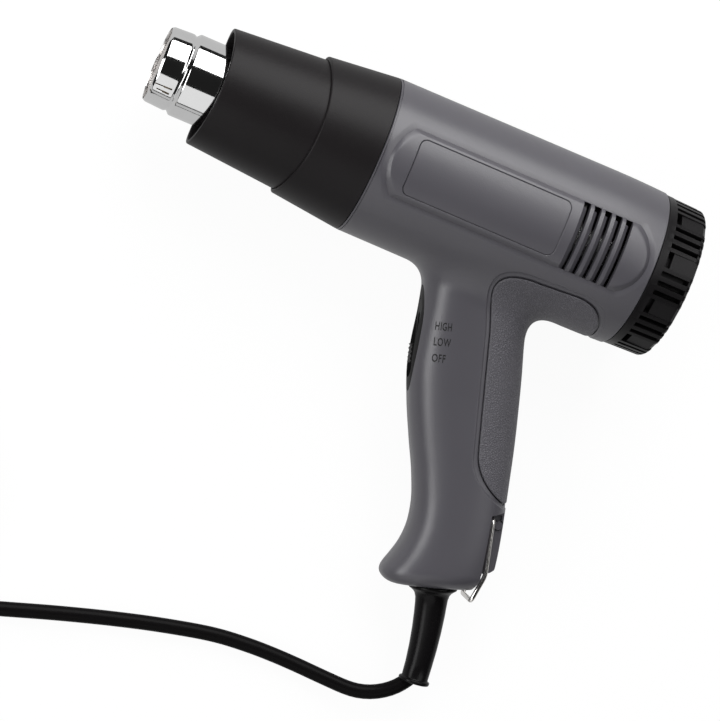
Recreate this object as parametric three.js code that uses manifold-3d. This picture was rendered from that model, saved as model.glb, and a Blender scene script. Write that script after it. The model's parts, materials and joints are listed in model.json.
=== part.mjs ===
// Heat gun: split housing, guard, chromed nozzle, heater, fan motor, slide switch, hanging bail and mains lead.
// Tool frame: X runs along the barrel to its back, Y points up, away from the handle, Z to the tool's left side.
// Part frame: the tool lies on its right side on the floor, Z = 0. Every size is in millimetres.
import * as THREE from "three";
import { mergeVertices } from "three/addons/utils/BufferGeometryUtils.js";
import Module from "manifold-3d";

const wasm = await Module();
wasm.setup();

// Clearances
const SEAT_GAP = 0.3;
const RUN_GAP = 0.1;
const PARTING_GAP = 0.3;

// Barrel of the housing
const BODY_FRONT_X = 1;
const BODY_LENGTH = 133;
const BODY_FRONT_R = 36.3;
const BODY_REAR_R = 37.3;
const BODY_TUCK = 0.65;
const BODY_TUCK_LENGTH = 25;
const WALL = 2.8;

// Raised pad with its label recess and the five side vents
const PAD_FRONT_X = 5.5;
const PAD_REAR_MARGIN = 3.8;
const PAD_TOP_Y = 17.1;
const PAD_BOTTOM_Y = -13.4;
const PAD_FRONT_ARC = 7;
const PAD_REAR_ARC = 8.8;
const PAD_RISE = 0.7;
const LABEL_FRONT_X = 15.6;
const LABEL_LENGTH = 72.4;
const LABEL_MARGIN = 2.6;
const LABEL_CORNER_R = 3;
const LABEL_DEPTH = 0.5;
const VENT_COUNT = 5;
const VENT_LAST_MARGIN = 17.6;
const VENT_PITCH = 5.15;
const VENT_WIDTH = 3.4;

// Handle, as sections square to its own axis: distance along it, front edge, back edge, half thickness
const HANDLE_LEAN = THREE.MathUtils.degToRad(17);
const HANDLE_X = 72;
const HANDLE_Y = -30;
const HANDLE_SECTIONS = [
  [31, -30, 20.7, 18],
  [42, -30.6, 21.2, 17.8],
  [58, -29.2, 21.5, 17.5],
  [76, -26.2, 21.5, 17.3],
  [92, -23.2, 21, 17.3],
  [106, -22, 20.5, 17.6],
  [117, -23.5, 20, 18],
  [124, -26.3, 19.5, 18.3],
  [129, -29.4, 19, 18.5],
  [133.5, -32.9, 18, 18.5],
  [136.8, -34, 16.4, 18.5],
  [139.8, -32, 13.8, 17.6],
  [141.8, -27, 10.8, 15.6],
  [142.7, -20, 8, 12.5],
];
const HANDLE_ROOT_FRONT = -27.9;
const HANDLE_ROOT_BACK = 20.6;
const HANDLE_ROOT_HALF = 18;
const HANDLE_ROOT_Y = -20;
const FRONT_FILLET_R = 10;
const REAR_FILLET_R = 13;
const HANDLE_SQUARENESS = 2.6;

// Grip inlays in a rebate with a narrow groove round them
const GRIP_EDGE = 0.5;
const GRIP_TOP_Y = -20.2;
const GRIP_FRONT_X = 72.7;
const GRIP_REAR_MARGIN = 5.3;
const GRIP_END = 103.9;
const GRIP_THICKNESS = 1.2;
const GRIP_GROOVE = 2.3;
const GRIP_FOOT = 25;
const GRIP_FOOT_KNEE = 11;
const GRIP_FOOT_BACK = 18;
const GRIP_NECK = 10;
const GRIP_NECK_Y = -33;
const GRIP_CORNER = 13;
const GRIP_REAR_RUN = 17;
const GRIP_REAR_KNEE = 3;
const GRIP_REAR_DROP = 1.5;

// Collar and guard in front of the housing
const COLLAR_FRONT_X = -32.3;
const COLLAR_FRONT_R = 32.7;
const COLLAR_SWEEP = 5;
const COLLAR_SPIGOT = 9;
const COLLAR_WALL = 2;
const COLLAR_LIP = 1.5;
const GUARD_FRONT_X = -75.4;
const GUARD_REAR_X = -13;
const GUARD_FRONT_R = 27.4;
const GUARD_TAPER = 0.0805;
const GUARD_WALL = 1.8;
const GUARD_SWEEP = 2.3;

// Nozzle tube and mouth screen
const NOZZLE_MOUTH_X = -100.6;
const NOZZLE_FRONT_R = 17.5;
const NOZZLE_STEP_R = 18.1;
const NOZZLE_REAR_R = 19.1;
const NOZZLE_STEP_X = -89.2;
const NOZZLE_GROOVE = 0.7;
const NOZZLE_WALL = 0.9;
const NOZZLE_LIP = 0.2;
const NOZZLE_REAR_X = -24;
const NOZZLE_FLANGE_R = 23;
const SCREEN_SETBACK = 1.2;
const SCREEN_THICKNESS = 0.8;
const SCREEN_HOLE_R = 2.1;
const SCREEN_PITCH = 5.8;

// Heater
const FLANGE_THICKNESS = 2;
const SLEEVE_WALL = 0.6;
const FORMER_HALF_WIDTH = 10.4;
const FORMER_PLATE = 1.4;
const FORMER_FRONT_X = -93;
const FORMER_DISC = 3;
const ELEMENT_WIRE_R = 0.7;
const ELEMENT_TURNS = 7;
const ELEMENT_PITCH = 8.2;
const CUTOUT_SIZE = [7, 6, 5];

// Fan, motor and air duct
const DUCT_R = 26.3;
const DUCT_THROAT_R = 19.5;
const DUCT_WALL = 1.5;
const DUCT_CONE_LENGTH = 50;
const MOUNT_SETBACK = 40.7;
const MOUNT_THICKNESS = 3.4;
const MOUNT_HOLES = 6;
const MOUNT_HOLE_R = 2.8;
const MOUNT_HOLE_CIRCLE_R = 21.2;
const MOTOR_R = 18;
const MOTOR_LENGTH = 38;
const MOTOR_WALL = 1.4;
const MAGNET_THICKNESS = 2.2;
const MAGNET_ARC = THREE.MathUtils.degToRad(140);
const AIR_GAP = 0.8;
const BEARING_R = 4.5;
const BEARING_LENGTH = 4;
const SHAFT_R = 1.5;
const SHAFT_REACH = 27;
const ARMATURE_LENGTH = 20;
const ARMATURE_SLOTS = 5;
const COMMUTATOR_R = 4.5;
const COMMUTATOR_LENGTH = 6;
const BRUSH_SIZE = [5, 6, 4];
const BOARD_R = 14;
const BOARD_THICKNESS = 1.6;
const BLADES = 6;
const BLADE_PITCH = THREE.MathUtils.degToRad(38);
const BLADE_THICKNESS = 1.4;
const HUB_R = 7;
const HUB_LENGTH = 14;
const TIP_GAP = 0.9;

// Rear cap with its ring of intake slots
const CAP_R = 36.3;
const CAP_REAR_R = 35.7;
const CAP_LENGTH = 19.3;
const CAP_WALL = 3;
const CAP_SPIGOT = 8;
const CAP_BAND = 3.8;
const CAP_EDGE = 2.6;
const CAP_PERIODS = 10;
const CAP_WIDE_SLOT = THREE.MathUtils.degToRad(12);
const CAP_WIDE_DEPTH = 1.8;
const CAP_NARROW_SLOT = THREE.MathUtils.degToRad(3.6);
const CAP_SLOT_STEP = THREE.MathUtils.degToRad(7.2);

// Slide switch in the front of the handle: places are along the handle's axis
const SWITCH_OFF = 37.5;
const SWITCH_TRAVEL = 14.3;
const BEZEL_LENGTH = 45;
const BEZEL_WIDTH = 14;
const BEZEL_DEPTH = 5;
const CHANNEL_LENGTH = 36;
const CHANNEL_WIDTH = 8;
const CHANNEL_DEPTH = 2;
const KNOB_LENGTH = 9;
const KNOB_WIDTH = 6.4;
const KNOB_RISE = 2.6;
const STEM_LENGTH = 5;
const STEM_WIDTH = 3.4;
const SWITCH_BODY = [32, 13, 11];

// Hanging bail and the rebates that it folds into
const BAIL_PIVOT = 108;
const BAIL_PIVOT_BACK = 14;
const BAIL_WIRE_R = 1.1;
const BAIL_HALF_WIDTH = 10.4;
const BAIL_BEND_R = 4;
const BAIL_CROSS_BAR = 145.6;
const BAIL_CROSS_BACK = 8;
const BAIL_KNEE = 134;
const BAIL_KNEE_BACK = 13.2;
const TONGUE_HALF = 8.2;
const TONGUE_WALL = 2.4;
const TONGUE_END = 133.3;
const REBATE_TOP = 105.8;
const REBATE_FRONT = 12.4;
const REBATE_BEND = 136;
const REBATE_BEND_FRONT = 10.2;
const REBATE_FOOT_SLOPE = 0.6;
const REBATE_TOP_SLOPE = 0.18;

// Boot, inner lead and clamp
const CORD_R = 3.4;
const BOOT_BACK = -8;
const BOOT_FLANGE_R = 11.2;
const BOOT_FLANGE = 3;
const BOOT_FLANGE_EDGE = 1.2;
const BOOT_SHOULDER = [3.2, 8.5];
const BOOT_NECK_R = 7.3;
const BOOT_NECK = 6;
const BOOT_END_R = 6.1;
const BOOT_RIM_R = 7.2;
const BOOT_RIM = 1.6;
const BOOT_BEND_START = 146;
const BOOT_END = 186;
const BOOT_DRIFT = 4;
const BOOT_STEPS = 5;
const BOOT_HOLE_R = 6.6;
const BOOT_INNER_R = 9;
const INNER_LEAD_LENGTH = 26;
const CLAMP_PLACE = 126;
const CLAMP_BAR = [8, 22, 2.6];
const CLAMP_SCREW_SPREAD = 8;
const WIRE_R = 1.1;
const WIRE_SPREAD = 2;

// Lead on the floor, from the boot to the coil
const LEAD_POINTS = [
  [85.6, -145.1, 11.5],
  [81.3, -149.8, 10.6],
  [75.3, -153.6, 9.3],
  [68.6, -155.7, 7.9],
  [62, -156.2, 6.6],
  [51, -155.8, 4.8],
  [38.6, -155.1, 3.7],
  [27, -154.7, 3.4],
  [14, -154.8, 3.4],
  [-2, -156, 3.4],
  [-25.2, -160.4, 3.4],
  [-46.7, -165.6, 3.4],
  [-71.3, -172.4, 3.4],
  [-97, -180.2, 3.4],
  [-118, -186.6, 3.5],
  [-139, -192.9, 4.1],
];
const LEAD_STEPS = 36;
const LEAD_SIDES = 8;

// Coil of the lead: two layers wound in and out again, held by a tie
const COIL_CENTRE = [-174.9, -151.1];
const COIL_START_ANGLE = THREE.MathUtils.degToRad(-73.1);
const COIL_END_ANGLE = THREE.MathUtils.degToRad(170);
const COIL_WHOLE_TURNS = 6;
const COIL_OUTER_R = 50.4;
const COIL_PITCH = 7.3;
const COIL_LAYER = 7.25;
const COIL_STEPS = 24;
const COIL_SIDES = 6;
const TIE_WIDTH = 8;
const TIE_THICKNESS = 0.8;
const TIE_SLACK = 0.8;

// Plug at the end of the lead: place along it, half width and half thickness of its sections
const PLUG_PLACE = [-212.6, -91.5];
const PLUG_HEADING = THREE.MathUtils.degToRad(75);
const PLUG_SECTIONS = [
  [0, 5, 5],
  [4, 5.8, 5.6],
  [11, 8.6, 6.8],
  [17, 11.6, 7.5],
  [31, 12, 7.5],
  [34, 11, 6.8],
];
const PLUG_HALF_THICKNESS = 7.5;
const BLADE_LENGTH = 17;
const BLADE_ROOT = 7;
const BLADE_HEIGHT = 6.3;
const BLADE_STOCK = 1.5;
const BLADE_SPACING = 12.7;
const TAIL_STEPS = 10;

// Screws through the right half into the left half
const SCREW_R = 1.4;
const SCREW_HEAD_R = 2.9;
const SCREW_HEAD = 2.3;
const SCREW_LENGTH = 20;
const POST_R = 3.4;
const SCREW_INSET = 7.1;
const FRONT_SCREW_X = 15;
const REAR_SCREW_MARGIN = 25;
const HANDLE_SCREWS = [
  [64, -4],
  [116, -15.5],
];
const BARREL_SEAT_Z = 13;
const HANDLE_SEAT_Z = 11;

// Numbers of sides
const ROUND = 36;
const RIM_ROUND = 32;
const MID_ROUND = 24;
const SMALL_ROUND = 16;
const BORE_ROUND = 10;
const SECTION_SIDES = 16;

const HOUSING_GREY = new THREE.MeshStandardMaterial({ color: 0x5e5e63, roughness: 0.55, metalness: 0 });
const GRIP_GREY = new THREE.MeshStandardMaterial({ color: 0x5a5a5f, roughness: 0.75, metalness: 0 });
const GUARD_BLACK = new THREE.MeshStandardMaterial({ color: 0x262425, roughness: 0.6, metalness: 0 });
const CAP_BLACK = new THREE.MeshStandardMaterial({ color: 0x161616, roughness: 0.4, metalness: 0 });
const RUBBER_BLACK = new THREE.MeshStandardMaterial({ color: 0x131313, roughness: 0.5, metalness: 0 });
const CHROME = new THREE.MeshStandardMaterial({ color: 0xe4e4e8, roughness: 0.08, metalness: 1 });
const STEEL = new THREE.MeshStandardMaterial({ color: 0xb9b9bc, roughness: 0.3, metalness: 1 });
const BRASS = new THREE.MeshStandardMaterial({ color: 0xc9a24a, roughness: 0.35, metalness: 1 });
const MICA = new THREE.MeshStandardMaterial({ color: 0xb7a68a, roughness: 0.6, metalness: 0 });
const ELEMENT_WIRE = new THREE.MeshStandardMaterial({ color: 0x7d7671, roughness: 0.5, metalness: 1 });
const DUCT_PLASTIC = new THREE.MeshStandardMaterial({ color: 0x3a3a3c, roughness: 0.6, metalness: 0 });
const MAGNET_GREY = new THREE.MeshStandardMaterial({ color: 0x3b3b3f, roughness: 0.7, metalness: 0 });
const BOARD_BROWN = new THREE.MeshStandardMaterial({ color: 0x8a6a3c, roughness: 0.6, metalness: 0 });
const WIRE_SKIN = new THREE.MeshStandardMaterial({ color: 0x2a4f8c, roughness: 0.5, metalness: 0 });

// A geometry as a solid that can be joined and cut
function solid(geometry) {
  const bare = geometry.clone();
  bare.deleteAttribute("normal");
  bare.deleteAttribute("uv");
  const merged = mergeVertices(bare, 1e-4);
  const corners = merged.index.array;
  const triangles = [];
  for (let i = 0; i < corners.length; i += 3) {
    const [a, b, c] = corners.slice(i, i + 3);
    if (a !== b && b !== c && c !== a) triangles.push(a, b, c);
  }
  const vertProperties = merged.attributes.position.array;
  return new wasm.Manifold(new wasm.Mesh({ numProp: 3, vertProperties, triVerts: new Uint32Array(triangles) }));
}

// The geometry of a solid, for a mesh
function geometryOf(made) {
  const { vertProperties, triVerts } = made.getMesh();
  const geometry = new THREE.BufferGeometry();
  geometry.setAttribute("position", new THREE.BufferAttribute(vertProperties, 3));
  geometry.setIndex(new THREE.BufferAttribute(triVerts, 1));
  geometry.computeVertexNormals();
  return geometry;
}

function join(solids) {
  return solids.reduce((whole, next) => whole.add(next));
}

function block(low, high) {
  const geometry = new THREE.BoxGeometry(...high.map((value, i) => value - low[i]));
  geometry.translate(...high.map((value, i) => (value + low[i]) / 2));
  return solid(geometry);
}

// A round bar between two points
function bar(radius, from, to, sides = SMALL_ROUND) {
  const start = new THREE.Vector3(...from);
  const way = new THREE.Vector3(...to).sub(start);
  const geometry = new THREE.CylinderGeometry(radius, radius, way.length(), sides);
  geometry.translate(0, way.length() / 2, 0);
  geometry.applyQuaternion(new THREE.Quaternion().setFromUnitVectors(new THREE.Object3D().up, way.normalize()));
  geometry.translate(...from);
  return solid(geometry);
}

// A profile of [x, radius] corners turned about the X axis
function turned(profile, sides = ROUND) {
  const closed = profile[0][1] > 0 ? [...profile, profile[0]] : profile;
  const area = closed.reduce((sum, [x, r], i) => {
    const [nextX, nextR] = closed[(i + 1) % closed.length];
    return sum + r * nextX - nextR * x;
  }, 0);
  const corners = area > 0 ? closed : [...closed].reverse();
  const geometry = new THREE.LatheGeometry(corners.map(([x, r]) => new THREE.Vector2(r, x)), sides);
  geometry.rotateZ(-Math.PI / 2);
  return geometry;
}

// Pushes the front rim of a turned piece back at its two sides, and less and less towards rearX
function sweptBack(geometry, frontX, rearX, sweep) {
  const place = geometry.attributes.position;
  for (let i = 0; i < place.count; i += 1) {
    const y = place.getY(i);
    const z = place.getZ(i);
    const share = THREE.MathUtils.clamp((rearX - place.getX(i)) / (rearX - frontX), 0, 1);
    place.setX(i, place.getX(i) + (sweep * share * z * z) / Math.max(y * y + z * z, 1e-9));
  }
  return geometry;
}

// A closed skin over rings that have the same number of points
function loft(rings) {
  const corners = [];
  const count = rings[0].length;
  const middle = (ring) => ring.reduce((sum, p) => sum.add(p), new THREE.Vector3()).divideScalar(count);
  rings.slice(1).forEach((ring, i) => {
    const before = rings[i];
    for (let k = 0; k < count; k += 1) {
      const n = (k + 1) % count;
      corners.push(before[k], before[n], ring[n], before[k], ring[n], ring[k]);
    }
  });
  const first = rings[0];
  const last = rings[rings.length - 1];
  for (let k = 0; k < count; k += 1) {
    const n = (k + 1) % count;
    corners.push(middle(first), first[n], first[k], middle(last), last[k], last[n]);
  }
  return new THREE.BufferGeometry().setFromPoints(corners);
}

// A flat outline in the XY plane made a prism between two heights
function prism(outline, lowZ, highZ, curveSegments = 5) {
  const geometry = new THREE.ExtrudeGeometry(outline, { depth: highZ - lowZ, bevelEnabled: false, curveSegments });
  geometry.translate(0, 0, lowZ);
  return geometry;
}

function circle(radius, sides) {
  const points = [];
  for (let i = 0; i < sides; i += 1) {
    const angle = (2 * Math.PI * i) / sides;
    points.push(new THREE.Vector2(radius * Math.cos(angle), radius * Math.sin(angle)));
  }
  return new THREE.Shape(points);
}

// A round tube along a curve
function tube(curve, radius, sides, steps) {
  return new THREE.ExtrudeGeometry(circle(radius, sides), { extrudePath: curve, steps, bevelEnabled: false });
}

// Straight runs through the points, with their corners rounded
function roundedPath(points, bend) {
  const path = new THREE.CurvePath();
  let from = points[0];
  for (let i = 1; i < points.length - 1; i += 1) {
    const corner = points[i];
    const before = corner.clone().lerp(points[i - 1], bend / corner.distanceTo(points[i - 1]));
    const after = corner.clone().lerp(points[i + 1], bend / corner.distanceTo(points[i + 1]));
    path.add(new THREE.LineCurve3(from, before));
    path.add(new THREE.QuadraticBezierCurve3(before, corner, after));
    from = after;
  }
  path.add(new THREE.LineCurve3(from, points[points.length - 1]));
  return path;
}

// A slot shape with round ends along X
function stadium(length, width) {
  const reach = (length - width) / 2;
  const shape = new THREE.Shape();
  shape.absarc(reach, 0, width / 2, -Math.PI / 2, Math.PI / 2);
  shape.absarc(-reach, 0, width / 2, Math.PI / 2, (3 * Math.PI) / 2);
  return shape;
}

// An oval with its length along X
function lens(length, width) {
  return new THREE.Shape().absellipse(0, 0, length / 2, width / 2, 0, 2 * Math.PI);
}

// Groups: the tool as it lies, and inside it the handle with X down its axis, Y to its back and Z to the left
const heatGun = new THREE.Group();
const tool = new THREE.Group();
const handle = new THREE.Group();
heatGun.add(tool);
tool.add(handle);
handle.position.set(HANDLE_X, HANDLE_Y, 0);
handle.rotation.z = HANDLE_LEAN - Math.PI / 2;
handle.updateMatrix();

function piece(name, shape, material, parent = tool) {
  const geometry = shape.isBufferGeometry ? shape : geometryOf(shape);
  const mesh = new THREE.Mesh(geometry, material);
  mesh.name = name;
  parent.add(mesh);
  return mesh;
}

// A place in the handle's frame, as a point of the tool's frame
function onHandle(along, back, side = 0) {
  return new THREE.Vector3(along, back, side).applyMatrix4(handle.matrix);
}

// The same solid, moved from the handle's frame to the tool's
function fromHandle(made) {
  return made.transform(handle.matrix.elements);
}

// The barrel widens evenly to its back and draws in a little at the end
const tuckX = BODY_LENGTH - BODY_TUCK_LENGTH;
function bodyRadius(x) {
  const tuck = Math.max(x - tuckX, 0) / BODY_TUCK_LENGTH;
  return BODY_FRONT_R + ((BODY_REAR_R - BODY_FRONT_R) * x) / BODY_LENGTH - BODY_TUCK * tuck ** 2;
}

function cone(inset, frontX, rearX) {
  const rings = [frontX, tuckX + BODY_TUCK_LENGTH / 3, rearX].map((x) => [x, bodyRadius(x) - inset]);
  return solid(turned([[frontX, 0], ...rings, [rearX, 0]]));
}

// One rounded section between a front and a back point, a little smaller by the inset
function section(front, back, half, inset) {
  const centre = front.clone().add(back).divideScalar(2);
  const reach = back.clone().sub(centre);
  reach.setLength(reach.length() - inset);
  const bulge = (value) => Math.sign(value) * Math.abs(value) ** (2 / HANDLE_SQUARENESS);
  const ring = [];
  for (let i = 0; i < SECTION_SIDES; i += 1) {
    const angle = (2 * Math.PI * i) / SECTION_SIDES;
    const point = centre.clone().addScaledVector(reach, bulge(Math.cos(angle)));
    point.z = (half - inset) * bulge(Math.sin(angle));
    ring.push(point);
  }
  return ring;
}

const HANDLE_LENGTH = HANDLE_SECTIONS[HANDLE_SECTIONS.length - 1][0];

// The handle's root flares into the barrel in level sections, and below that its sections are square to its axis
function handleRings(inset) {
  const barrelBottom = -bodyRadius(HANDLE_X);
  const edgeAt = (t, y) => HANDLE_X + (HANDLE_Y - y) * Math.tan(HANDLE_LEAN) + t / Math.cos(HANDLE_LEAN);
  const flare = (radius, depth) => radius - Math.sqrt(radius ** 2 - Math.max(radius - depth, 0) ** 2);
  const level = (y, depth) => {
    const front = edgeAt(HANDLE_ROOT_FRONT, y) - flare(FRONT_FILLET_R, depth);
    const back = edgeAt(HANDLE_ROOT_BACK, y) + flare(REAR_FILLET_R, depth);
    return section(new THREE.Vector3(front, y, 0), new THREE.Vector3(back, y, 0), HANDLE_ROOT_HALF, inset);
  };
  const rings = [level(HANDLE_ROOT_Y, 0)];
  for (const share of [0, 0.12, 0.45, 1]) {
    const depth = share * REAR_FILLET_R;
    rings.push(level(barrelBottom - depth, depth));
  }
  for (const [along, front, back, half] of HANDLE_SECTIONS) {
    const place = Math.min(along, HANDLE_LENGTH - inset);
    rings.push(section(onHandle(place, front), onHandle(place, back), half, inset));
  }
  return rings;
}

// Barrel and handle as one solid, smaller all round by the inset
function core(inset, overrun = 0) {
  return cone(inset, BODY_FRONT_X - overrun, BODY_LENGTH + overrun).add(solid(loft(handleRings(inset))));
}

// Housing halves
function padOutline(inset) {
  const [top, bottom] = [PAD_TOP_Y - inset, PAD_BOTTOM_Y + inset];
  const half = (top - bottom) / 2;
  const middle = (top + bottom) / 2;
  const arcCentre = (sagitta) => (half ** 2 + sagitta ** 2) / (2 * sagitta);
  const frontR = arcCentre(PAD_FRONT_ARC);
  const rearR = arcCentre(PAD_REAR_ARC);
  const rearAngle = Math.asin(half / rearR);
  const frontAngle = Math.asin(half / frontR);
  const shape = new THREE.Shape();
  shape.absarc(BODY_LENGTH - PAD_REAR_MARGIN - inset - rearR, middle, rearR, -rearAngle, rearAngle);
  shape.absarc(PAD_FRONT_X + inset + frontR, middle, frontR, Math.PI - frontAngle, Math.PI + frontAngle);
  return shape;
}

function labelOutline() {
  const [left, right] = [LABEL_FRONT_X, LABEL_FRONT_X + LABEL_LENGTH];
  const [bottom, top] = [PAD_BOTTOM_Y + LABEL_MARGIN, PAD_TOP_Y - LABEL_MARGIN];
  const r = LABEL_CORNER_R;
  const shape = new THREE.Shape();
  shape.absarc(right - r, bottom + r, r, -Math.PI / 2, 0);
  shape.absarc(right - r, top - r, r, 0, Math.PI / 2);
  shape.absarc(left + r, top - r, r, Math.PI / 2, Math.PI);
  shape.absarc(left + r, bottom + r, r, Math.PI, (3 * Math.PI) / 2);
  return shape;
}

// The border of the grip: up the handle, round under the barrel's flank and out behind the handle
function gripOutline(inset) {
  const flat = (along, back) => {
    const point = onHandle(along, back);
    return [point.x, point.y];
  };
  const edge = GRIP_EDGE + inset;
  const end = GRIP_END - inset;
  const top = GRIP_TOP_Y - inset;
  const front = GRIP_FRONT_X + inset;
  const rear = BODY_LENGTH - GRIP_REAR_MARGIN - inset;
  const beyond = HANDLE_ROOT_BACK + 3 * REAR_FILLET_R;
  const low = -bodyRadius(BODY_LENGTH - GRIP_REAR_MARGIN);
  const shape = new THREE.Shape();
  shape.moveTo(...flat(end, beyond));
  shape.lineTo(...flat(end - 1, GRIP_FOOT_BACK));
  shape.quadraticCurveTo(...flat(end - GRIP_FOOT_KNEE, edge), ...flat(end - GRIP_FOOT, edge));
  shape.lineTo(...flat(GRIP_NECK, edge));
  shape.lineTo(front, GRIP_NECK_Y);
  shape.quadraticCurveTo(front, top, front + GRIP_CORNER, top);
  shape.lineTo(rear - GRIP_REAR_RUN, top);
  shape.quadraticCurveTo(rear - GRIP_REAR_KNEE, top, rear, low + GRIP_REAR_DROP);
  shape.lineTo(rear, low - GRIP_REAR_KNEE);
  return shape;
}

const halfSpan = bodyRadius(BODY_LENGTH) + PAD_RISE + 1;
const sideReach = BODY_LENGTH + HANDLE_LENGTH;
const leftSide = block([-sideReach, -sideReach, PARTING_GAP / 2], [sideReach, sideReach, halfSpan]);
const rightSide = block([-sideReach, -sideReach, -halfSpan], [sideReach, sideReach, -PARTING_GAP / 2]);

// Side vents through both walls
function ventCuts() {
  const cuts = [];
  for (let i = 0; i < VENT_COUNT; i += 1) {
    const x = BODY_LENGTH - VENT_LAST_MARGIN - i * VENT_PITCH;
    const low = [x - VENT_WIDTH / 2, PAD_BOTTOM_Y, -halfSpan];
    cuts.push(block(low, [x + VENT_WIDTH / 2, PAD_TOP_Y, halfSpan]));
  }
  return join(cuts);
}

// The rebates at both sides of the handle's back and the notch below the tongue between them, or with a wall, what
// stays solid round them
function bailRebates(wall) {
  const beyond = HANDLE_LENGTH + 10;
  const behind = REBATE_FRONT + 20;
  const foot = REBATE_BEND_FRONT - REBATE_FOOT_SLOPE * (beyond - REBATE_BEND);
  const depth = HANDLE_ROOT_HALF + 5;
  const cut = (top, front, low, high) => {
    const shape = new THREE.Shape();
    shape.moveTo(top - wall, front - wall);
    shape.lineTo(REBATE_BEND, REBATE_BEND_FRONT - wall);
    shape.lineTo(beyond, foot - wall);
    shape.lineTo(beyond, behind);
    shape.lineTo(top - wall - REBATE_TOP_SLOPE * (behind - front), behind);
    return solid(prism(shape, low, high));
  };
  const left = cut(REBATE_TOP, REBATE_FRONT, TONGUE_HALF - wall, depth);
  const right = cut(REBATE_TOP, REBATE_FRONT, -depth, wall - TONGUE_HALF);
  return fromHandle(join([left, right, cut(TONGUE_END, REBATE_BEND_FRONT, -depth, depth)]));
}

// Screws as [tool x, tool y, depth of the head's seat]
const rearScrewX = BODY_LENGTH - REAR_SCREW_MARGIN;
const SCREWS = [
  [FRONT_SCREW_X, bodyRadius(FRONT_SCREW_X) - SCREW_INSET, BARREL_SEAT_Z],
  [FRONT_SCREW_X, SCREW_INSET - bodyRadius(FRONT_SCREW_X), BARREL_SEAT_Z],
  [rearScrewX, bodyRadius(rearScrewX) - SCREW_INSET, BARREL_SEAT_Z],
  ...HANDLE_SCREWS.map(([along, back]) => [onHandle(along, back).x, onHandle(along, back).y, HANDLE_SEAT_Z]),
];

const outer = core(0);
const cavity = core(WALL, 1).subtract(bailRebates(TONGUE_WALL));
const pads = solid(prism(padOutline(0), -halfSpan, halfSpan)).intersect(cone(-PAD_RISE, 0, BODY_LENGTH));
const labelFloor = cone(LABEL_DEPTH - PAD_RISE, 0, BODY_LENGTH);
const labels = solid(prism(labelOutline(), -halfSpan, halfSpan)).subtract(labelFloor);
const gripPocket = solid(prism(gripOutline(0), -halfSpan, halfSpan)).subtract(core(GRIP_THICKNESS + SEAT_GAP));
const bezelHoleOutline = lens(BEZEL_LENGTH + 2 * SEAT_GAP, BEZEL_WIDTH + 2 * SEAT_GAP);
const bezelHole = fromHandle(switchPrism(bezelHoleOutline, -HANDLE_LENGTH, 0));
const bootHole = fromHandle(
  bar(BOOT_HOLE_R, [HANDLE_LENGTH - 2 * WALL, BOOT_BACK, 0], [HANDLE_LENGTH + 5, BOOT_BACK, 0]),
);
const pivotHole = fromHandle(
  bar(BAIL_WIRE_R + SEAT_GAP, [BAIL_PIVOT, BAIL_PIVOT_BACK, -20], [BAIL_PIVOT, BAIL_PIVOT_BACK, 20], BORE_ROUND),
);
const postBars = SCREWS.map(([x, y]) => bar(POST_R, [x, y, -halfSpan], [x, y, halfSpan], BORE_ROUND));
const posts = join(postBars).intersect(outer);
const shanks = join(
  SCREWS.map(([x, y, seat]) => {
    const tip = SCREW_LENGTH - seat + SEAT_GAP;
    return bar(SCREW_R + SEAT_GAP, [x, y, -halfSpan], [x, y, tip], BORE_ROUND);
  }),
);
const headWells = join(
  SCREWS.map(([x, y, seat]) => bar(SCREW_HEAD_R + SEAT_GAP, [x, y, -halfSpan], [x, y, -seat], BORE_ROUND)),
);
const shell = outer
  .add(pads)
  .subtract(cavity)
  .add(posts)
  .subtract(labels)
  .subtract(ventCuts())
  .subtract(gripPocket)
  .subtract(bezelHole)
  .subtract(bootHole)
  .subtract(bailRebates(0))
  .subtract(pivotHole)
  .subtract(shanks)
  .subtract(headWells);

// An outline pushed into the handle's front, between two places measured from the axis to the back
function switchPrism(outline, front, back) {
  const geometry = prism(outline, 0, back - front, 6);
  geometry.rotateX(-Math.PI / 2);
  geometry.translate(SWITCH_OFF - SWITCH_TRAVEL / 2, front, 0);
  return solid(geometry);
}

const clampPlaces = [BOOT_BACK - CLAMP_SCREW_SPREAD, BOOT_BACK + CLAMP_SCREW_SPREAD];
const clampPosts = join(
  clampPlaces.map((back) => {
    const post = bar(SCREW_HEAD_R, [CLAMP_PLACE, back, -HANDLE_ROOT_HALF], [CLAMP_PLACE, back, CORD_R], BORE_ROUND);
    const bore = bar(SCREW_R, [CLAMP_PLACE, back, -2 * CORD_R], [CLAMP_PLACE, back, CORD_R + 1], BORE_ROUND);
    return fromHandle(post).subtract(fromHandle(bore));
  }),
).intersect(outer);

piece("left_housing", shell.intersect(leftSide), HOUSING_GREY);
piece("right_housing", shell.intersect(rightSide).add(clampPosts), HOUSING_GREY);

const grip = solid(prism(gripOutline(GRIP_GROOVE), -halfSpan, halfSpan))
  .intersect(outer)
  .subtract(core(GRIP_THICKNESS));
piece("left_grip_inlay", grip.intersect(leftSide), GRIP_GREY);
piece("right_grip_inlay", grip.intersect(rightSide), GRIP_GREY);

SCREWS.forEach(([x, y, seat], i) => {
  const head = bar(SCREW_HEAD_R, [x, y, -seat - SEAT_GAP - SCREW_HEAD], [x, y, -seat - SEAT_GAP], BORE_ROUND);
  const shank = bar(SCREW_R, [x, y, -seat - SEAT_GAP - 0.5], [x, y, SCREW_LENGTH - seat - SEAT_GAP], BORE_ROUND);
  piece(`housing_screw_${i + 1}`, head.add(shank), STEEL);
});

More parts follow.
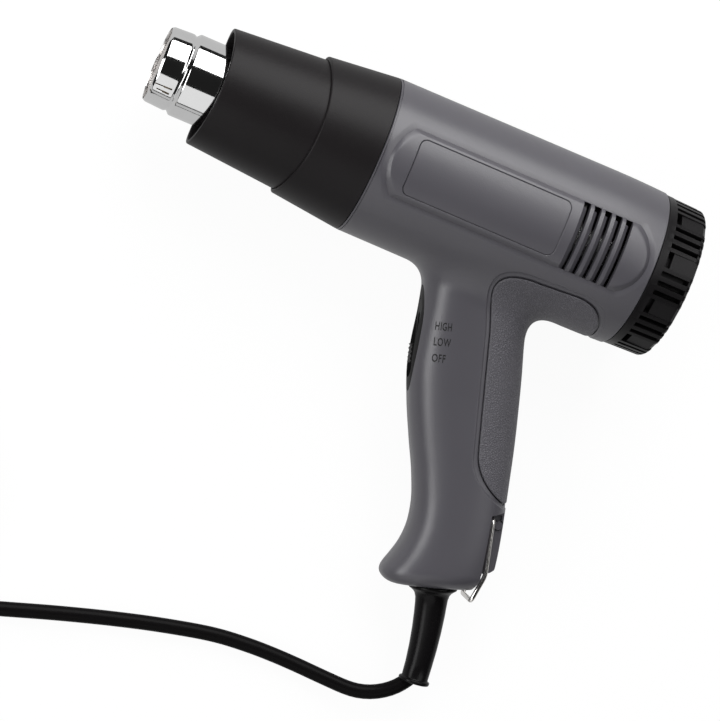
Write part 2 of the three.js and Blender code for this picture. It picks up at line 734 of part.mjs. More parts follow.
// Collar and guard
const guardOuter = (x) => GUARD_FRONT_R + (x - GUARD_FRONT_X) * GUARD_TAPER;
const spigotR = bodyRadius(0) - WALL - SEAT_GAP;
const collarRear = BODY_FRONT_X - SEAT_GAP;
const collarInner = (x) => guardOuter(x) + SEAT_GAP;
const collarBlank = turned([
  [COLLAR_FRONT_X, 0],
  [COLLAR_FRONT_X, collarInner(COLLAR_FRONT_X) + COLLAR_LIP / 2],
  [COLLAR_FRONT_X + COLLAR_LIP / 3, COLLAR_FRONT_R - COLLAR_LIP / 4],
  [COLLAR_FRONT_X + COLLAR_LIP, COLLAR_FRONT_R],
  [collarRear, BODY_FRONT_R],
  [collarRear, spigotR],
  [COLLAR_SPIGOT, spigotR],
  [COLLAR_SPIGOT, 0],
], RIM_ROUND);
const collarSeat = GUARD_REAR_X + SEAT_GAP;
const collarBore = turned([
  [GUARD_FRONT_X, 0],
  [GUARD_FRONT_X, collarInner(GUARD_FRONT_X)],
  [collarSeat, collarInner(collarSeat)],
  [collarSeat, spigotR - COLLAR_WALL],
  [COLLAR_SPIGOT + 1, spigotR - COLLAR_WALL],
  [COLLAR_SPIGOT + 1, 0],
], RIM_ROUND);
const collarSwept = sweptBack(collarBlank, COLLAR_FRONT_X, collarRear, COLLAR_SWEEP);
piece("guard_collar", solid(collarSwept).subtract(solid(collarBore)), GUARD_BLACK);

const guard = turned([
  [GUARD_FRONT_X + 0.7, GUARD_FRONT_R - GUARD_WALL],
  [GUARD_FRONT_X, GUARD_FRONT_R - GUARD_WALL / 2],
  [GUARD_FRONT_X + 0.7, GUARD_FRONT_R],
  [GUARD_REAR_X, guardOuter(GUARD_REAR_X)],
  [GUARD_REAR_X, guardOuter(GUARD_REAR_X) - GUARD_WALL],
], RIM_ROUND);
piece("nozzle_guard", solid(sweptBack(guard, GUARD_FRONT_X, COLLAR_FRONT_X, GUARD_SWEEP)), GUARD_BLACK);

// Nozzle tube with its rolled lip, groove and rear flange
const nozzleFrontBore = NOZZLE_FRONT_R - NOZZLE_WALL;
const nozzleStepBore = NOZZLE_STEP_R - NOZZLE_WALL;
const nozzleRearBore = NOZZLE_REAR_R - NOZZLE_WALL;
const nozzle = turned(
  [
    [NOZZLE_MOUTH_X, nozzleFrontBore],
    [NOZZLE_MOUTH_X, NOZZLE_FRONT_R],
    [NOZZLE_MOUTH_X + NOZZLE_LIP, NOZZLE_FRONT_R + NOZZLE_LIP],
    [NOZZLE_MOUTH_X + 3 * NOZZLE_LIP, NOZZLE_FRONT_R + NOZZLE_LIP],
    [NOZZLE_MOUTH_X + 4 * NOZZLE_LIP, NOZZLE_FRONT_R],
    [NOZZLE_STEP_X - 1, NOZZLE_STEP_R],
    [NOZZLE_STEP_X, NOZZLE_STEP_R - NOZZLE_GROOVE],
    [NOZZLE_STEP_X + 1.6, NOZZLE_REAR_R],
    [NOZZLE_REAR_X - NOZZLE_WALL, NOZZLE_REAR_R],
    [NOZZLE_REAR_X - NOZZLE_WALL, NOZZLE_FLANGE_R],
    [NOZZLE_REAR_X, NOZZLE_FLANGE_R],
    [NOZZLE_REAR_X, nozzleRearBore],
    [NOZZLE_STEP_X + 1.6, nozzleRearBore],
    [NOZZLE_STEP_X, nozzleStepBore - NOZZLE_GROOVE],
    [NOZZLE_STEP_X - 1, nozzleStepBore],
  ],
  MID_ROUND,
);
piece("nozzle_tube", nozzle, CHROME);

// Screen just inside the mouth: a thin disc with rings of holes
const screenFront = NOZZLE_MOUTH_X + SCREEN_SETBACK;
const screenRear = screenFront + SCREEN_THICKNESS;
const screenR = nozzleFrontBore - SEAT_GAP;
function screenHoles() {
  const holes = [bar(SCREEN_HOLE_R, [screenFront - 1, 0, 0], [screenRear + 1, 0, 0], 6)];
  for (const [ring, count] of [[1, 6], [2, 12]]) {
    for (let i = 0; i < count; i += 1) {
      const angle = (2 * Math.PI * i) / count;
      const y = ring * SCREEN_PITCH * Math.cos(angle);
      const z = ring * SCREEN_PITCH * Math.sin(angle);
      holes.push(bar(SCREEN_HOLE_R, [screenFront - 1, y, z], [screenRear + 1, y, z], 6));
    }
  }
  return join(holes);
}
const screenProfile = [[screenFront, 0], [screenFront, screenR], [screenRear, screenR], [screenRear, 0]];
piece("mouth_screen", solid(turned(screenProfile, MID_ROUND)).subtract(screenHoles()), ELEMENT_WIRE);

// Heater: flange, mica sleeve, cross former, wound element and thermal cut-out
const flangeX = NOZZLE_REAR_X + SEAT_GAP;
const flangeRear = flangeX + FLANGE_THICKNESS;
const sleeveR = nozzleFrontBore - NOZZLE_GROOVE - SEAT_GAP;
const sleeveBore = sleeveR - SLEEVE_WALL;
const flangeR = guardOuter(flangeX) - GUARD_WALL - SEAT_GAP;
const flangeProfile = [[flangeX, sleeveBore], [flangeX, flangeR], [flangeRear, flangeR], [flangeRear, sleeveBore]];
piece("heater_flange", turned(flangeProfile, MID_ROUND), STEEL);

const sleeveProfile = [
  [FORMER_FRONT_X, sleeveBore],
  [FORMER_FRONT_X, sleeveR],
  [NOZZLE_REAR_X, sleeveR],
  [NOZZLE_REAR_X, sleeveBore],
];
piece("mica_sleeve", turned(sleeveProfile, MID_ROUND), MICA);

const half = FORMER_PLATE / 2;
const formerDisc = turned(
  [
    [NOZZLE_REAR_X - FORMER_DISC, 2.5],
    [NOZZLE_REAR_X - FORMER_DISC, sleeveBore - SEAT_GAP],
    [NOZZLE_REAR_X, sleeveBore - SEAT_GAP],
    [NOZZLE_REAR_X, 2.5],
  ],
  MID_ROUND,
);
const former = solid(formerDisc)
  .add(block([FORMER_FRONT_X, -FORMER_HALF_WIDTH, -half], [NOZZLE_REAR_X - 1, FORMER_HALF_WIDTH, half]))
  .add(block([FORMER_FRONT_X, -half, -FORMER_HALF_WIDTH], [NOZZLE_REAR_X - 1, half, FORMER_HALF_WIDTH]));
piece("heater_former", former, MICA);

// A helix about the X axis
class Helix extends THREE.Curve {
  constructor(startX, radius, pitch, turns) {
    super();
    Object.assign(this, { startX, radius, pitch, turns });
  }

  getPoint(share, target = new THREE.Vector3()) {
    const angle = 2 * Math.PI * this.turns * share;
    const x = this.startX + this.pitch * this.turns * share;
    return target.set(x, this.radius * Math.cos(angle), this.radius * Math.sin(angle));
  }
}
const elementR = FORMER_HALF_WIDTH + SEAT_GAP + ELEMENT_WIRE_R + 0.4;
const elementRear = NOZZLE_REAR_X - FORMER_DISC - SEAT_GAP - ELEMENT_WIRE_R;
const elementCurve = new Helix(elementRear - ELEMENT_TURNS * ELEMENT_PITCH, elementR, ELEMENT_PITCH, ELEMENT_TURNS);
piece("heating_element", tube(elementCurve, ELEMENT_WIRE_R, 4, 8 * ELEMENT_TURNS), ELEMENT_WIRE);

const [cutoutLength, cutoutHeight, cutoutWidth] = CUTOUT_SIZE;
const cutoutX = NOZZLE_REAR_X + SEAT_GAP;
const cutout = block(
  [cutoutX, 4, -cutoutWidth / 2],
  [cutoutX + cutoutLength, 4 + cutoutHeight, cutoutWidth / 2],
);
piece("thermal_cutout", cutout, BRASS);

// Air duct from the fan to the heater flange
const mountX = BODY_LENGTH - MOUNT_SETBACK;
const ductX = flangeRear + SEAT_GAP;
const ductRear = mountX - SEAT_GAP;
const ductBore = DUCT_R - DUCT_WALL;
const duct = turned([
  [ductX, DUCT_THROAT_R - DUCT_WALL],
  [ductX, DUCT_THROAT_R],
  [ductX + DUCT_CONE_LENGTH, DUCT_R],
  [ductRear, DUCT_R],
  [ductRear, ductBore],
  [ductX + DUCT_CONE_LENGTH, ductBore],
], MID_ROUND);
piece("air_duct", duct, DUCT_PLASTIC);

// Motor: mount plate, can, end bell, bearings, magnets, brushes and board
const mountRear = mountX + MOUNT_THICKNESS;
const mountR = bodyRadius(mountX) - WALL - SEAT_GAP;
const canX = mountRear + SEAT_GAP;
const canRear = canX + MOTOR_LENGTH;
const bearingHole = BEARING_R + SEAT_GAP;
const mountPlate = turned([[mountX, bearingHole], [mountX, mountR], [mountRear, mountR], [mountRear, bearingHole]]);
const mountHoles = [];
for (let i = 0; i < MOUNT_HOLES; i += 1) {
  const angle = (2 * Math.PI * (i + 0.5)) / MOUNT_HOLES;
  const y = MOUNT_HOLE_CIRCLE_R * Math.cos(angle);
  const z = MOUNT_HOLE_CIRCLE_R * Math.sin(angle);
  mountHoles.push(bar(MOUNT_HOLE_R, [mountX - 1, y, z], [mountRear + 1, y, z], BORE_ROUND));
}
piece("motor_mount", solid(mountPlate).subtract(join(mountHoles)), DUCT_PLASTIC);

const canBore = MOTOR_R - MOTOR_WALL;
const can = turned(
  [
    [canX, bearingHole],
    [canX, MOTOR_R],
    [canRear, MOTOR_R],
    [canRear, canBore],
    [canX + MOTOR_WALL, canBore],
    [canX + MOTOR_WALL, bearingHole],
  ],
  MID_ROUND,
);
piece("motor_can", can, STEEL);

const bellX = canRear - MOTOR_WALL;
const bellR = canBore - SEAT_GAP;
const bell = turned(
  [[bellX, bearingHole], [bellX, bellR], [bellX + 2 * MOTOR_WALL, bellR], [bellX + 2 * MOTOR_WALL, bearingHole]],
  MID_ROUND,
);
piece("motor_end_bell", bell, DUCT_PLASTIC);

function bearing(name, startX) {
  const bore = (SHAFT_R + RUN_GAP) / Math.cos(Math.PI / SMALL_ROUND);
  const endX = startX + BEARING_LENGTH;
  const profile = [[startX, bore], [startX, BEARING_R], [endX, BEARING_R], [endX, bore]];
  piece(name, turned(profile, SMALL_ROUND), BRASS);
}
const frontBearingX = canX - 1;
const rearBearingX = bellX - 0.6;
bearing("front_bearing", frontBearingX);
bearing("rear_bearing", rearBearingX);

const magnetOuter = canBore - SEAT_GAP;
const magnetInner = magnetOuter - MAGNET_THICKNESS;
const armatureX = frontBearingX + BEARING_LENGTH + 2;
function magnet(name, turn) {
  const shape = new THREE.Shape();
  shape.absarc(0, 0, magnetOuter, -MAGNET_ARC / 2, MAGNET_ARC / 2);
  shape.absarc(0, 0, magnetInner, MAGNET_ARC / 2, -MAGNET_ARC / 2, true);
  const geometry = prism(shape, 0, ARMATURE_LENGTH);
  geometry.rotateZ(turn);
  geometry.rotateY(Math.PI / 2);
  geometry.translate(armatureX, 0, 0);
  piece(name, geometry, MAGNET_GREY);
}
magnet("left_magnet", Math.PI);
magnet("right_magnet", 0);

const shaftFront = frontBearingX - SHAFT_REACH;
const boardX = rearBearingX + BEARING_LENGTH + SEAT_GAP;
piece("motor_shaft", bar(SHAFT_R, [shaftFront, 0, 0], [boardX + BOARD_THICKNESS, 0, 0]), STEEL);

const shaftBore = SHAFT_R + SEAT_GAP;
const armatureR = magnetInner - AIR_GAP;
const armatureProfile = [
  [armatureX, shaftBore],
  [armatureX, armatureR],
  [armatureX + ARMATURE_LENGTH, armatureR],
  [armatureX + ARMATURE_LENGTH, shaftBore],
];
const armatureSlots = [];
for (let i = 0; i < ARMATURE_SLOTS; i += 1) {
  const slot = block([armatureX - 1, armatureR - 5, -1], [armatureX + ARMATURE_LENGTH + 1, armatureR + 1, 1]);
  armatureSlots.push(slot.rotate([(360 * i) / ARMATURE_SLOTS, 0, 0]));
}
piece("armature", solid(turned(armatureProfile, MID_ROUND)).subtract(join(armatureSlots)), BRASS);

const commutatorX = armatureX + ARMATURE_LENGTH + 1;
const commutatorEnd = commutatorX + COMMUTATOR_LENGTH;
const commutatorProfile = [
  [commutatorX, shaftBore],
  [commutatorX, COMMUTATOR_R],
  [commutatorEnd, COMMUTATOR_R],
  [commutatorEnd, shaftBore],
];
piece("commutator", turned(commutatorProfile, SMALL_ROUND), BRASS);

const [brushLength, brushHeight, brushWidth] = BRUSH_SIZE;
for (const [name, sign] of [["upper_brush", 1], ["lower_brush", -1]]) {
  const near = sign * (COMMUTATOR_R + SEAT_GAP);
  const far = sign * (COMMUTATOR_R + SEAT_GAP + brushHeight);
  const low = [bellX - SEAT_GAP - brushLength, Math.min(near, far), -brushWidth / 2];
  piece(name, block(low, [bellX - SEAT_GAP, Math.max(near, far), brushWidth / 2]), MAGNET_GREY);
}

const boardBore = SHAFT_R + 2 * SEAT_GAP;
const boardProfile = [
  [boardX, boardBore],
  [boardX, BOARD_R],
  [boardX + BOARD_THICKNESS, BOARD_R],
  [boardX + BOARD_THICKNESS, boardBore],
];
piece("rectifier_board", turned(boardProfile, SMALL_ROUND), BOARD_BROWN);

// Impeller: a hub with slanted blades, at the front end of the shaft
function impeller() {
  const hubX = shaftFront + 1;
  const tip = ductBore - TIP_GAP;
  const hubProfile = [
    [hubX, shaftBore],
    [hubX, HUB_R - 2],
    [hubX + 2, HUB_R],
    [hubX + HUB_LENGTH, HUB_R],
    [hubX + HUB_LENGTH, shaftBore],
  ];
  const chord = (HUB_LENGTH - 2) / Math.cos(BLADE_PITCH);
  const blades = [];
  for (let i = 0; i < BLADES; i += 1) {
    const geometry = new THREE.BoxGeometry(chord, tip - HUB_R + 1, BLADE_THICKNESS);
    geometry.rotateY(BLADE_PITCH);
    geometry.translate(hubX + HUB_LENGTH / 2, (tip + HUB_R - 1) / 2, 0);
    geometry.rotateX((2 * Math.PI * i) / BLADES);
    blades.push(solid(geometry));
  }
  const sweptTip = [[hubX - 5, 0], [hubX - 5, tip], [hubX + HUB_LENGTH + 5, tip], [hubX + HUB_LENGTH + 5, 0]];
  return join([solid(turned(hubProfile, SMALL_ROUND)), ...blades]).intersect(solid(turned(sweptTip, MID_ROUND)));
}
piece("impeller", impeller().subtract(bar(shaftBore, [shaftFront - 5, 0, 0], [canX, 0, 0])), DUCT_PLASTIC);

// Rear cap: a cup with a spigot, wide blind recesses and narrow slots that let the air in
const capX = BODY_LENGTH + SEAT_GAP;
const capRear = BODY_LENGTH + CAP_LENGTH;
const capSpigotR = bodyRadius(BODY_LENGTH) - WALL - SEAT_GAP - 0.1;
const capBore = capSpigotR - CAP_WALL;
const cap = turned([
  [capRear - CAP_WALL, 0],
  [capRear - CAP_WALL, capBore],
  [BODY_LENGTH - CAP_SPIGOT, capBore],
  [BODY_LENGTH - CAP_SPIGOT, capSpigotR],
  [capX, capSpigotR],
  [capX, CAP_R],
  [capRear - CAP_EDGE, CAP_REAR_R],
  [capRear - CAP_EDGE * 0.3, CAP_REAR_R - CAP_EDGE * 0.3],
  [capRear, CAP_REAR_R - CAP_EDGE],
  [capRear, 0],
], 3 * CAP_PERIODS);
function capCut(angle, width, depth) {
  const half = Math.tan(width / 2) * CAP_R;
  const low = [capX + CAP_BAND, CAP_R - depth, -half];
  return block(low, [capRear - CAP_EDGE - 0.4, CAP_R + 1, half]).rotate([THREE.MathUtils.radToDeg(angle), 0, 0]);
}
const capCuts = [];
for (let i = 0; i < CAP_PERIODS; i += 1) {
  const start = (2 * Math.PI * i) / CAP_PERIODS;
  capCuts.push(capCut(start, CAP_WIDE_SLOT, CAP_WIDE_DEPTH));
  for (const step of [-1, 0, 1]) {
    capCuts.push(capCut(start + Math.PI / CAP_PERIODS + step * CAP_SLOT_STEP, CAP_NARROW_SLOT, CAP_R - capBore + 1));
  }
}
piece("rear_cap", solid(cap).subtract(join(capCuts)), CAP_BLACK);

// Slide switch: bezel in the handle's front wall, knob with its stem, and the switch behind
const switchFront = HANDLE_SECTIONS[0][1];
const bezelBack = switchFront + BEZEL_DEPTH;
const channelFloor = switchFront + CHANNEL_DEPTH;
const slotWidth = STEM_WIDTH + 2 * SEAT_GAP;
const slotLength = SWITCH_TRAVEL + STEM_LENGTH + slotWidth;
const channel = switchPrism(stadium(CHANNEL_LENGTH, CHANNEL_WIDTH), -HANDLE_LENGTH, channelFloor);
const slot = switchPrism(stadium(slotLength, slotWidth), channelFloor - 1, bezelBack + 1);
const bezelBlank = switchPrism(lens(BEZEL_LENGTH, BEZEL_WIDTH), -HANDLE_LENGTH, bezelBack);
piece("switch_bezel", fromHandle(bezelBlank).intersect(outer).subtract(fromHandle(channel.add(slot))), CAP_BLACK);

const knobBack = channelFloor - SEAT_GAP;
const knob = block(
  [SWITCH_OFF - KNOB_LENGTH / 2, knobBack - KNOB_RISE, -KNOB_WIDTH / 2],
  [SWITCH_OFF + KNOB_LENGTH / 2, knobBack, KNOB_WIDTH / 2],
);
const stem = block(
  [SWITCH_OFF - STEM_LENGTH / 2, knobBack - 0.5, -STEM_WIDTH / 2],
  [SWITCH_OFF + STEM_LENGTH / 2, bezelBack + SEAT_GAP, STEM_WIDTH / 2],
);
piece("switch_slider", knob.add(stem), CAP_BLACK, handle);

const [switchLength, switchDepth, switchWidth] = SWITCH_BODY;
const switchMiddle = SWITCH_OFF - SWITCH_TRAVEL / 2;
const switchBodyFront = bezelBack + 2 * SEAT_GAP;
const switchBody = block(
  [switchMiddle - switchLength / 2, switchBodyFront, -switchWidth / 2],
  [switchMiddle + switchLength / 2, switchBodyFront + switchDepth, switchWidth / 2],
);
piece("switch_body", switchBody, RUBBER_BLACK, handle);

// Hanging bail: one bent wire whose ends sit in the tongue between the two rebates
const bailEnd = TONGUE_HALF - TONGUE_WALL + SEAT_GAP;
function bailSide(sign) {
  return [
    [BAIL_PIVOT, BAIL_PIVOT_BACK, sign * bailEnd],
    [BAIL_PIVOT, BAIL_PIVOT_BACK, sign * BAIL_HALF_WIDTH],
    [BAIL_KNEE, BAIL_KNEE_BACK, sign * BAIL_HALF_WIDTH],
    [BAIL_CROSS_BAR, BAIL_CROSS_BACK, sign * BAIL_HALF_WIDTH],
  ].map((point) => new THREE.Vector3(...point));
}
const bailPath = roundedPath([...bailSide(1), ...bailSide(-1).reverse()], BAIL_BEND_R / 2);
piece("hanging_bail", tube(bailPath, BAIL_WIRE_R, 6, 40), STEEL, handle);

// Inner lead, clamp bar with its two screws, and the wires to the switch
const bootFlange = HANDLE_LENGTH + SEAT_GAP;
const bootInner = HANDLE_LENGTH - WALL - SEAT_GAP;
const innerEnd = bootInner - BOOT_FLANGE - SEAT_GAP;
const innerStart = innerEnd - INNER_LEAD_LENGTH;
piece("inner_lead", bar(CORD_R, [innerStart, BOOT_BACK, 0], [innerEnd, BOOT_BACK, 0], 12), RUBBER_BLACK, handle);

const [clampLength, clampWidth, clampThickness] = CLAMP_BAR;
const clampZ = CORD_R + SEAT_GAP;
const clampTop = clampZ + clampThickness;
const clampHoles = join(
  clampPlaces.map((back) => bar(SCREW_R, [CLAMP_PLACE, back, 0], [CLAMP_PLACE, back, clampTop + 1], BORE_ROUND)),
);
const clampBar = block(
  [CLAMP_PLACE - clampLength / 2, BOOT_BACK - clampWidth / 2, clampZ],
  [CLAMP_PLACE + clampLength / 2, BOOT_BACK + clampWidth / 2, clampTop],
);
piece("cord_clamp", clampBar.subtract(clampHoles), DUCT_PLASTIC, handle);
clampPlaces.forEach((back, i) => {
  const headZ = clampTop + SEAT_GAP;
  const at = (z) => [CLAMP_PLACE, back, z];
  const head = bar(SCREW_HEAD_R - 0.5, at(headZ), at(headZ + 1.6), BORE_ROUND);
  const shank = bar(SCREW_R - SEAT_GAP, at(-1.5 * CORD_R), at(headZ + 0.5), BORE_ROUND);
  piece(`clamp_screw_${i + 1}`, head.add(shank), STEEL, handle);
});

const wireTop = switchMiddle + switchLength / 2 + SEAT_GAP;
const wireBack = switchBodyFront + switchDepth / 2;
[["live_wire", 1], ["neutral_wire", -1]].forEach(([name, sign]) => {
  const z = sign * WIRE_SPREAD;
  const bow = sign * (WIRE_SPREAD + 3);
  const curve = new THREE.CubicBezierCurve3(
    new THREE.Vector3(innerStart - SEAT_GAP, BOOT_BACK, z),
    new THREE.Vector3(innerStart - 25, BOOT_BACK, bow),
    new THREE.Vector3(wireTop + 25, wireBack, bow),
    new THREE.Vector3(wireTop, wireBack, z),
  );
  piece(name, tube(curve, WIRE_R, 6, 14), WIRE_SKIN, handle);
});

// The tool lies on its right side: the raised pad of the barrel and the handle's end touch the floor
function layDown() {
  const widest = HANDLE_SECTIONS.reduce((best, row) => (row[3] >= best[3] ? row : best));
  const [along, front, back, halfThickness] = widest;
  const support = onHandle(along, (front + back) / 2);
  const draft = Math.atan((BODY_REAR_R - BODY_FRONT_R) / BODY_LENGTH);
  const padRadius = (x) => bodyRadius(x) + PAD_RISE;
  const tilt =
    Math.asin(padRadius(support.x) / Math.hypot(support.y, halfThickness)) - Math.atan2(halfThickness, -support.y);
  tool.rotation.set(tilt, -draft, 0, "YXZ");
  tool.position.z = padRadius(0) * Math.cos(draft);
  heatGun.updateMatrixWorld(true);
  const middle = new THREE.Box3().setFromObject(tool, true).getCenter(new THREE.Vector3());
  tool.position.x = -middle.x;
  tool.position.y = -middle.y;
  heatGun.updateMatrixWorld(true);
}
layDown();

// A ring of points round a place, square to the way ahead
function ringAt(centre, ahead, radius, sides) {
  const side = new THREE.Vector3(0, 0, 1).cross(ahead).normalize();
  const up = ahead.clone().normalize().cross(side);
  const ring = [];
  for (let i = 0; i < sides; i += 1) {
    const angle = (2 * Math.PI * i) / sides;
    const point = centre.clone().addScaledVector(side, radius * Math.cos(angle));
    ring.push(point.addScaledVector(up, radius * Math.sin(angle)));
  }
  return ring;
}

// Boot: a flange on each side of the housing's wall, then a tapered body that leans forward to its rim
function bootRing([along, radius]) {
  const reach = BOOT_END - BOOT_BEND_START;
  const share = Math.max(along - BOOT_BEND_START, 0) / reach;
  const centre = new THREE.Vector3(along, BOOT_BACK - BOOT_DRIFT * share ** 2, 0);
  const ahead = new THREE.Vector3(1, (-2 * BOOT_DRIFT * share) / reach, 0);
  return ringAt(centre, ahead, radius, SMALL_ROUND);
}
const bootNeckR = BOOT_HOLE_R * Math.cos(Math.PI / SMALL_ROUND) - SEAT_GAP;
const bootTop = bootFlange + BOOT_NECK;
const rimStart = BOOT_END - BOOT_RIM;
const bootTaper = [];
for (let i = 0; i <= BOOT_STEPS; i += 1) {
  const share = i / BOOT_STEPS;
  const radius = THREE.MathUtils.lerp(BOOT_NECK_R, BOOT_END_R, share);
  bootTaper.push([THREE.MathUtils.lerp(bootTop, rimStart, share), radius]);
}
const bootProfile = [
  [bootInner - BOOT_FLANGE, BOOT_INNER_R],
  [bootInner, BOOT_INNER_R],
  [bootInner, bootNeckR],
  [bootFlange, bootNeckR],
  [bootFlange, BOOT_FLANGE_R],
  [bootFlange + BOOT_FLANGE_EDGE, BOOT_FLANGE_R],
  [bootFlange + BOOT_SHOULDER[0], BOOT_SHOULDER[1]],
  ...bootTaper,
  [rimStart, BOOT_RIM_R],
  [BOOT_END, BOOT_RIM_R],
];
piece("strain_relief", loft(bootProfile.map(bootRing)), RUBBER_BLACK, handle);

// Coil: straight ends one diameter long, and between them the turns, which climb a layer where they reverse
const coilTurns = COIL_WHOLE_TURNS + (COIL_START_ANGLE + 2 * Math.PI - COIL_END_ANGLE) / (2 * Math.PI);
const coilLowZ = CORD_R + TIE_THICKNESS + SEAT_GAP;
function coilPoint(turns) {
  const angle = COIL_START_ANGLE - 2 * Math.PI * turns;
  const radius = COIL_OUTER_R - COIL_PITCH * Math.min(turns, coilTurns - turns);
  const climb = THREE.MathUtils.clamp(2 * (turns - coilTurns / 2) + 0.5, 0, 1);
  return new THREE.Vector3(
    COIL_CENTRE[0] + radius * Math.cos(angle),
    COIL_CENTRE[1] + radius * Math.sin(angle),
    coilLowZ + COIL_LAYER * (0.5 - 0.5 * Math.cos(Math.PI * climb)),
  );
}
function coilHeading(turns) {
  const angle = COIL_START_ANGLE - 2 * Math.PI * turns;
  return new THREE.Vector3(Math.sin(angle), -Math.cos(angle), 0);
}
const coilSteps = Math.round(coilTurns * COIL_STEPS);
const coilLine = [coilPoint(0).addScaledVector(coilHeading(0), -2 * CORD_R)];
for (let i = 0; i <= coilSteps; i += 1) coilLine.push(coilPoint((coilTurns * i) / coilSteps));
coilLine.push(coilPoint(coilTurns).addScaledVector(coilHeading(coilTurns), 2 * CORD_R));
const coilRings = coilLine.map((point, i) => {
  const before = coilLine[Math.max(i - 1, 0)];
  const after = coilLine[Math.min(i + 1, coilLine.length - 1)];
  return ringAt(point, after.clone().sub(before), CORD_R, COIL_SIDES);
});
piece("cord_coil", loft(coilRings), RUBBER_BLACK, heatGun);

let leastGap = Infinity;
coilLine.forEach((point, i) => {
  for (let k = i + COIL_STEPS / 2; k < coilLine.length; k += 1) {
    leastGap = Math.min(leastGap, point.distanceTo(coilLine[k]) - 2 * CORD_R);
  }
});
console.log(`Least gap between the coil's turns: ${leastGap.toFixed(2)} mm`);

// Lead from the boot to the coil
const coilStart = coilLine[0];
const leadEnd = coilStart.clone().addScaledVector(coilHeading(0), -SEAT_GAP);
const leadPoints = [...LEAD_POINTS.map((point) => new THREE.Vector3(...point)), leadEnd];
const leadCurve = new THREE.CatmullRomCurve3(leadPoints);
piece("cord_lead", tube(leadCurve, CORD_R, LEAD_SIDES, LEAD_STEPS), RUBBER_BLACK, heatGun);

// Tie round the bundle at the coil's far side, where the turns stand nearest the Y direction
const sideTurn = (COIL_START_ANGLE + 1.5 * Math.PI) / (2 * Math.PI);
const outerTurnR = COIL_OUTER_R - COIL_PITCH * sideTurn;
const innerTurnR = COIL_OUTER_R - COIL_PITCH * (coilTurns - sideTurn - Math.ceil(coilTurns / 2 - sideTurn));
const tieNear = COIL_CENTRE[1] + innerTurnR - CORD_R - TIE_SLACK;
const tieFar = COIL_CENTRE[1] + outerTurnR + CORD_R + TIE_SLACK;
const tieTop = coilLowZ + COIL_LAYER + CORD_R + SEAT_GAP;
const tieLeft = COIL_CENTRE[0] - TIE_WIDTH / 2;
const tieRight = COIL_CENTRE[0] + TIE_WIDTH / 2;
const tieBand = block(
  [tieLeft, tieNear - TIE_THICKNESS, 0],
  [tieRight, tieFar + TIE_THICKNESS, tieTop + TIE_THICKNESS],
);
const tieHole = block([tieLeft - 1, tieNear, TIE_THICKNESS], [tieRight + 1, tieFar, tieTop]);
piece("coil_tie", tieBand.subtract(tieHole), RUBBER_BLACK, heatGun);

// Plug with two flat blades, lying beside the coil, and the tail that leads to it
const plug = new THREE.Group();
heatGun.add(plug);
plug.position.set(...PLUG_PLACE, PLUG_HALF_THICKNESS);
plug.rotation.z = PLUG_HEADING;
const plugLength = PLUG_SECTIONS[PLUG_SECTIONS.length - 1][0];
const plugRings = PLUG_SECTIONS.map(([along, halfWidth, halfThickness]) => {
  const low = new THREE.Vector3(along, -halfWidth, 0);
  return section(low, new THREE.Vector3(along, halfWidth, 0), halfThickness, 0);
});
function blade(sign, slack) {
  const middle = (sign * BLADE_SPACING) / 2;
  const thick = BLADE_STOCK / 2 + slack;
  const tall = BLADE_HEIGHT / 2 + slack;
  const low = [plugLength - BLADE_ROOT - slack, middle - thick, -tall];
  return block(low, [plugLength + BLADE_LENGTH, middle + thick, tall]);
}
const plugSolid = solid(loft(plugRings)).subtract(blade(1, SEAT_GAP)).subtract(blade(-1, SEAT_GAP));
piece("plug_body", plugSolid, RUBBER_BLACK, plug);
piece("plug_blade_1", blade(1, 0), BRASS, plug);
piece("plug_blade_2", blade(-1, 0), BRASS, plug);

const coilEnd = coilLine[coilLine.length - 1];
const plugWay = new THREE.Vector3(Math.cos(PLUG_HEADING), Math.sin(PLUG_HEADING), 0);
const tailStart = coilEnd.clone().addScaledVector(coilHeading(coilTurns), SEAT_GAP);
const tailEnd = plug.position.clone().addScaledVector(plugWay, -SEAT_GAP);
const tailReach = tailStart.distanceTo(tailEnd) / 3;
const tailCurve = new THREE.CubicBezierCurve3(
  tailStart,
  tailStart.clone().addScaledVector(coilHeading(coilTurns), tailReach),
  tailEnd.clone().addScaledVector(plugWay, -tailReach),
  tailEnd,
);
piece("cord_tail", tube(tailCurve, CORD_R, LEAD_SIDES, TAIL_STEPS), RUBBER_BLACK, heatGun);

const coilLength = coilLine.slice(1).reduce((sum, point, i) => sum + point.distanceTo(coilLine[i]), 0);
const cordLength = leadCurve.getLength() + coilLength + tailCurve.getLength();
console.log(`Length of the lead from the boot to the plug: ${(cordLength / 1000).toFixed(3)} m`);

export default heatGun;
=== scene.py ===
"""Heat gun lying on its right side, with the rest of its mains lead put away in a tied coil.

Sizes are millimetres in the tool's own frame: X runs along the barrel to its back, Y points up, away from
the handle, and Z to the tool's left side. Finished meshes are in metres, in the part's frame.
"""

import json
import math

import bmesh
import bpy
import numpy as np
from mathutils import Matrix, Vector


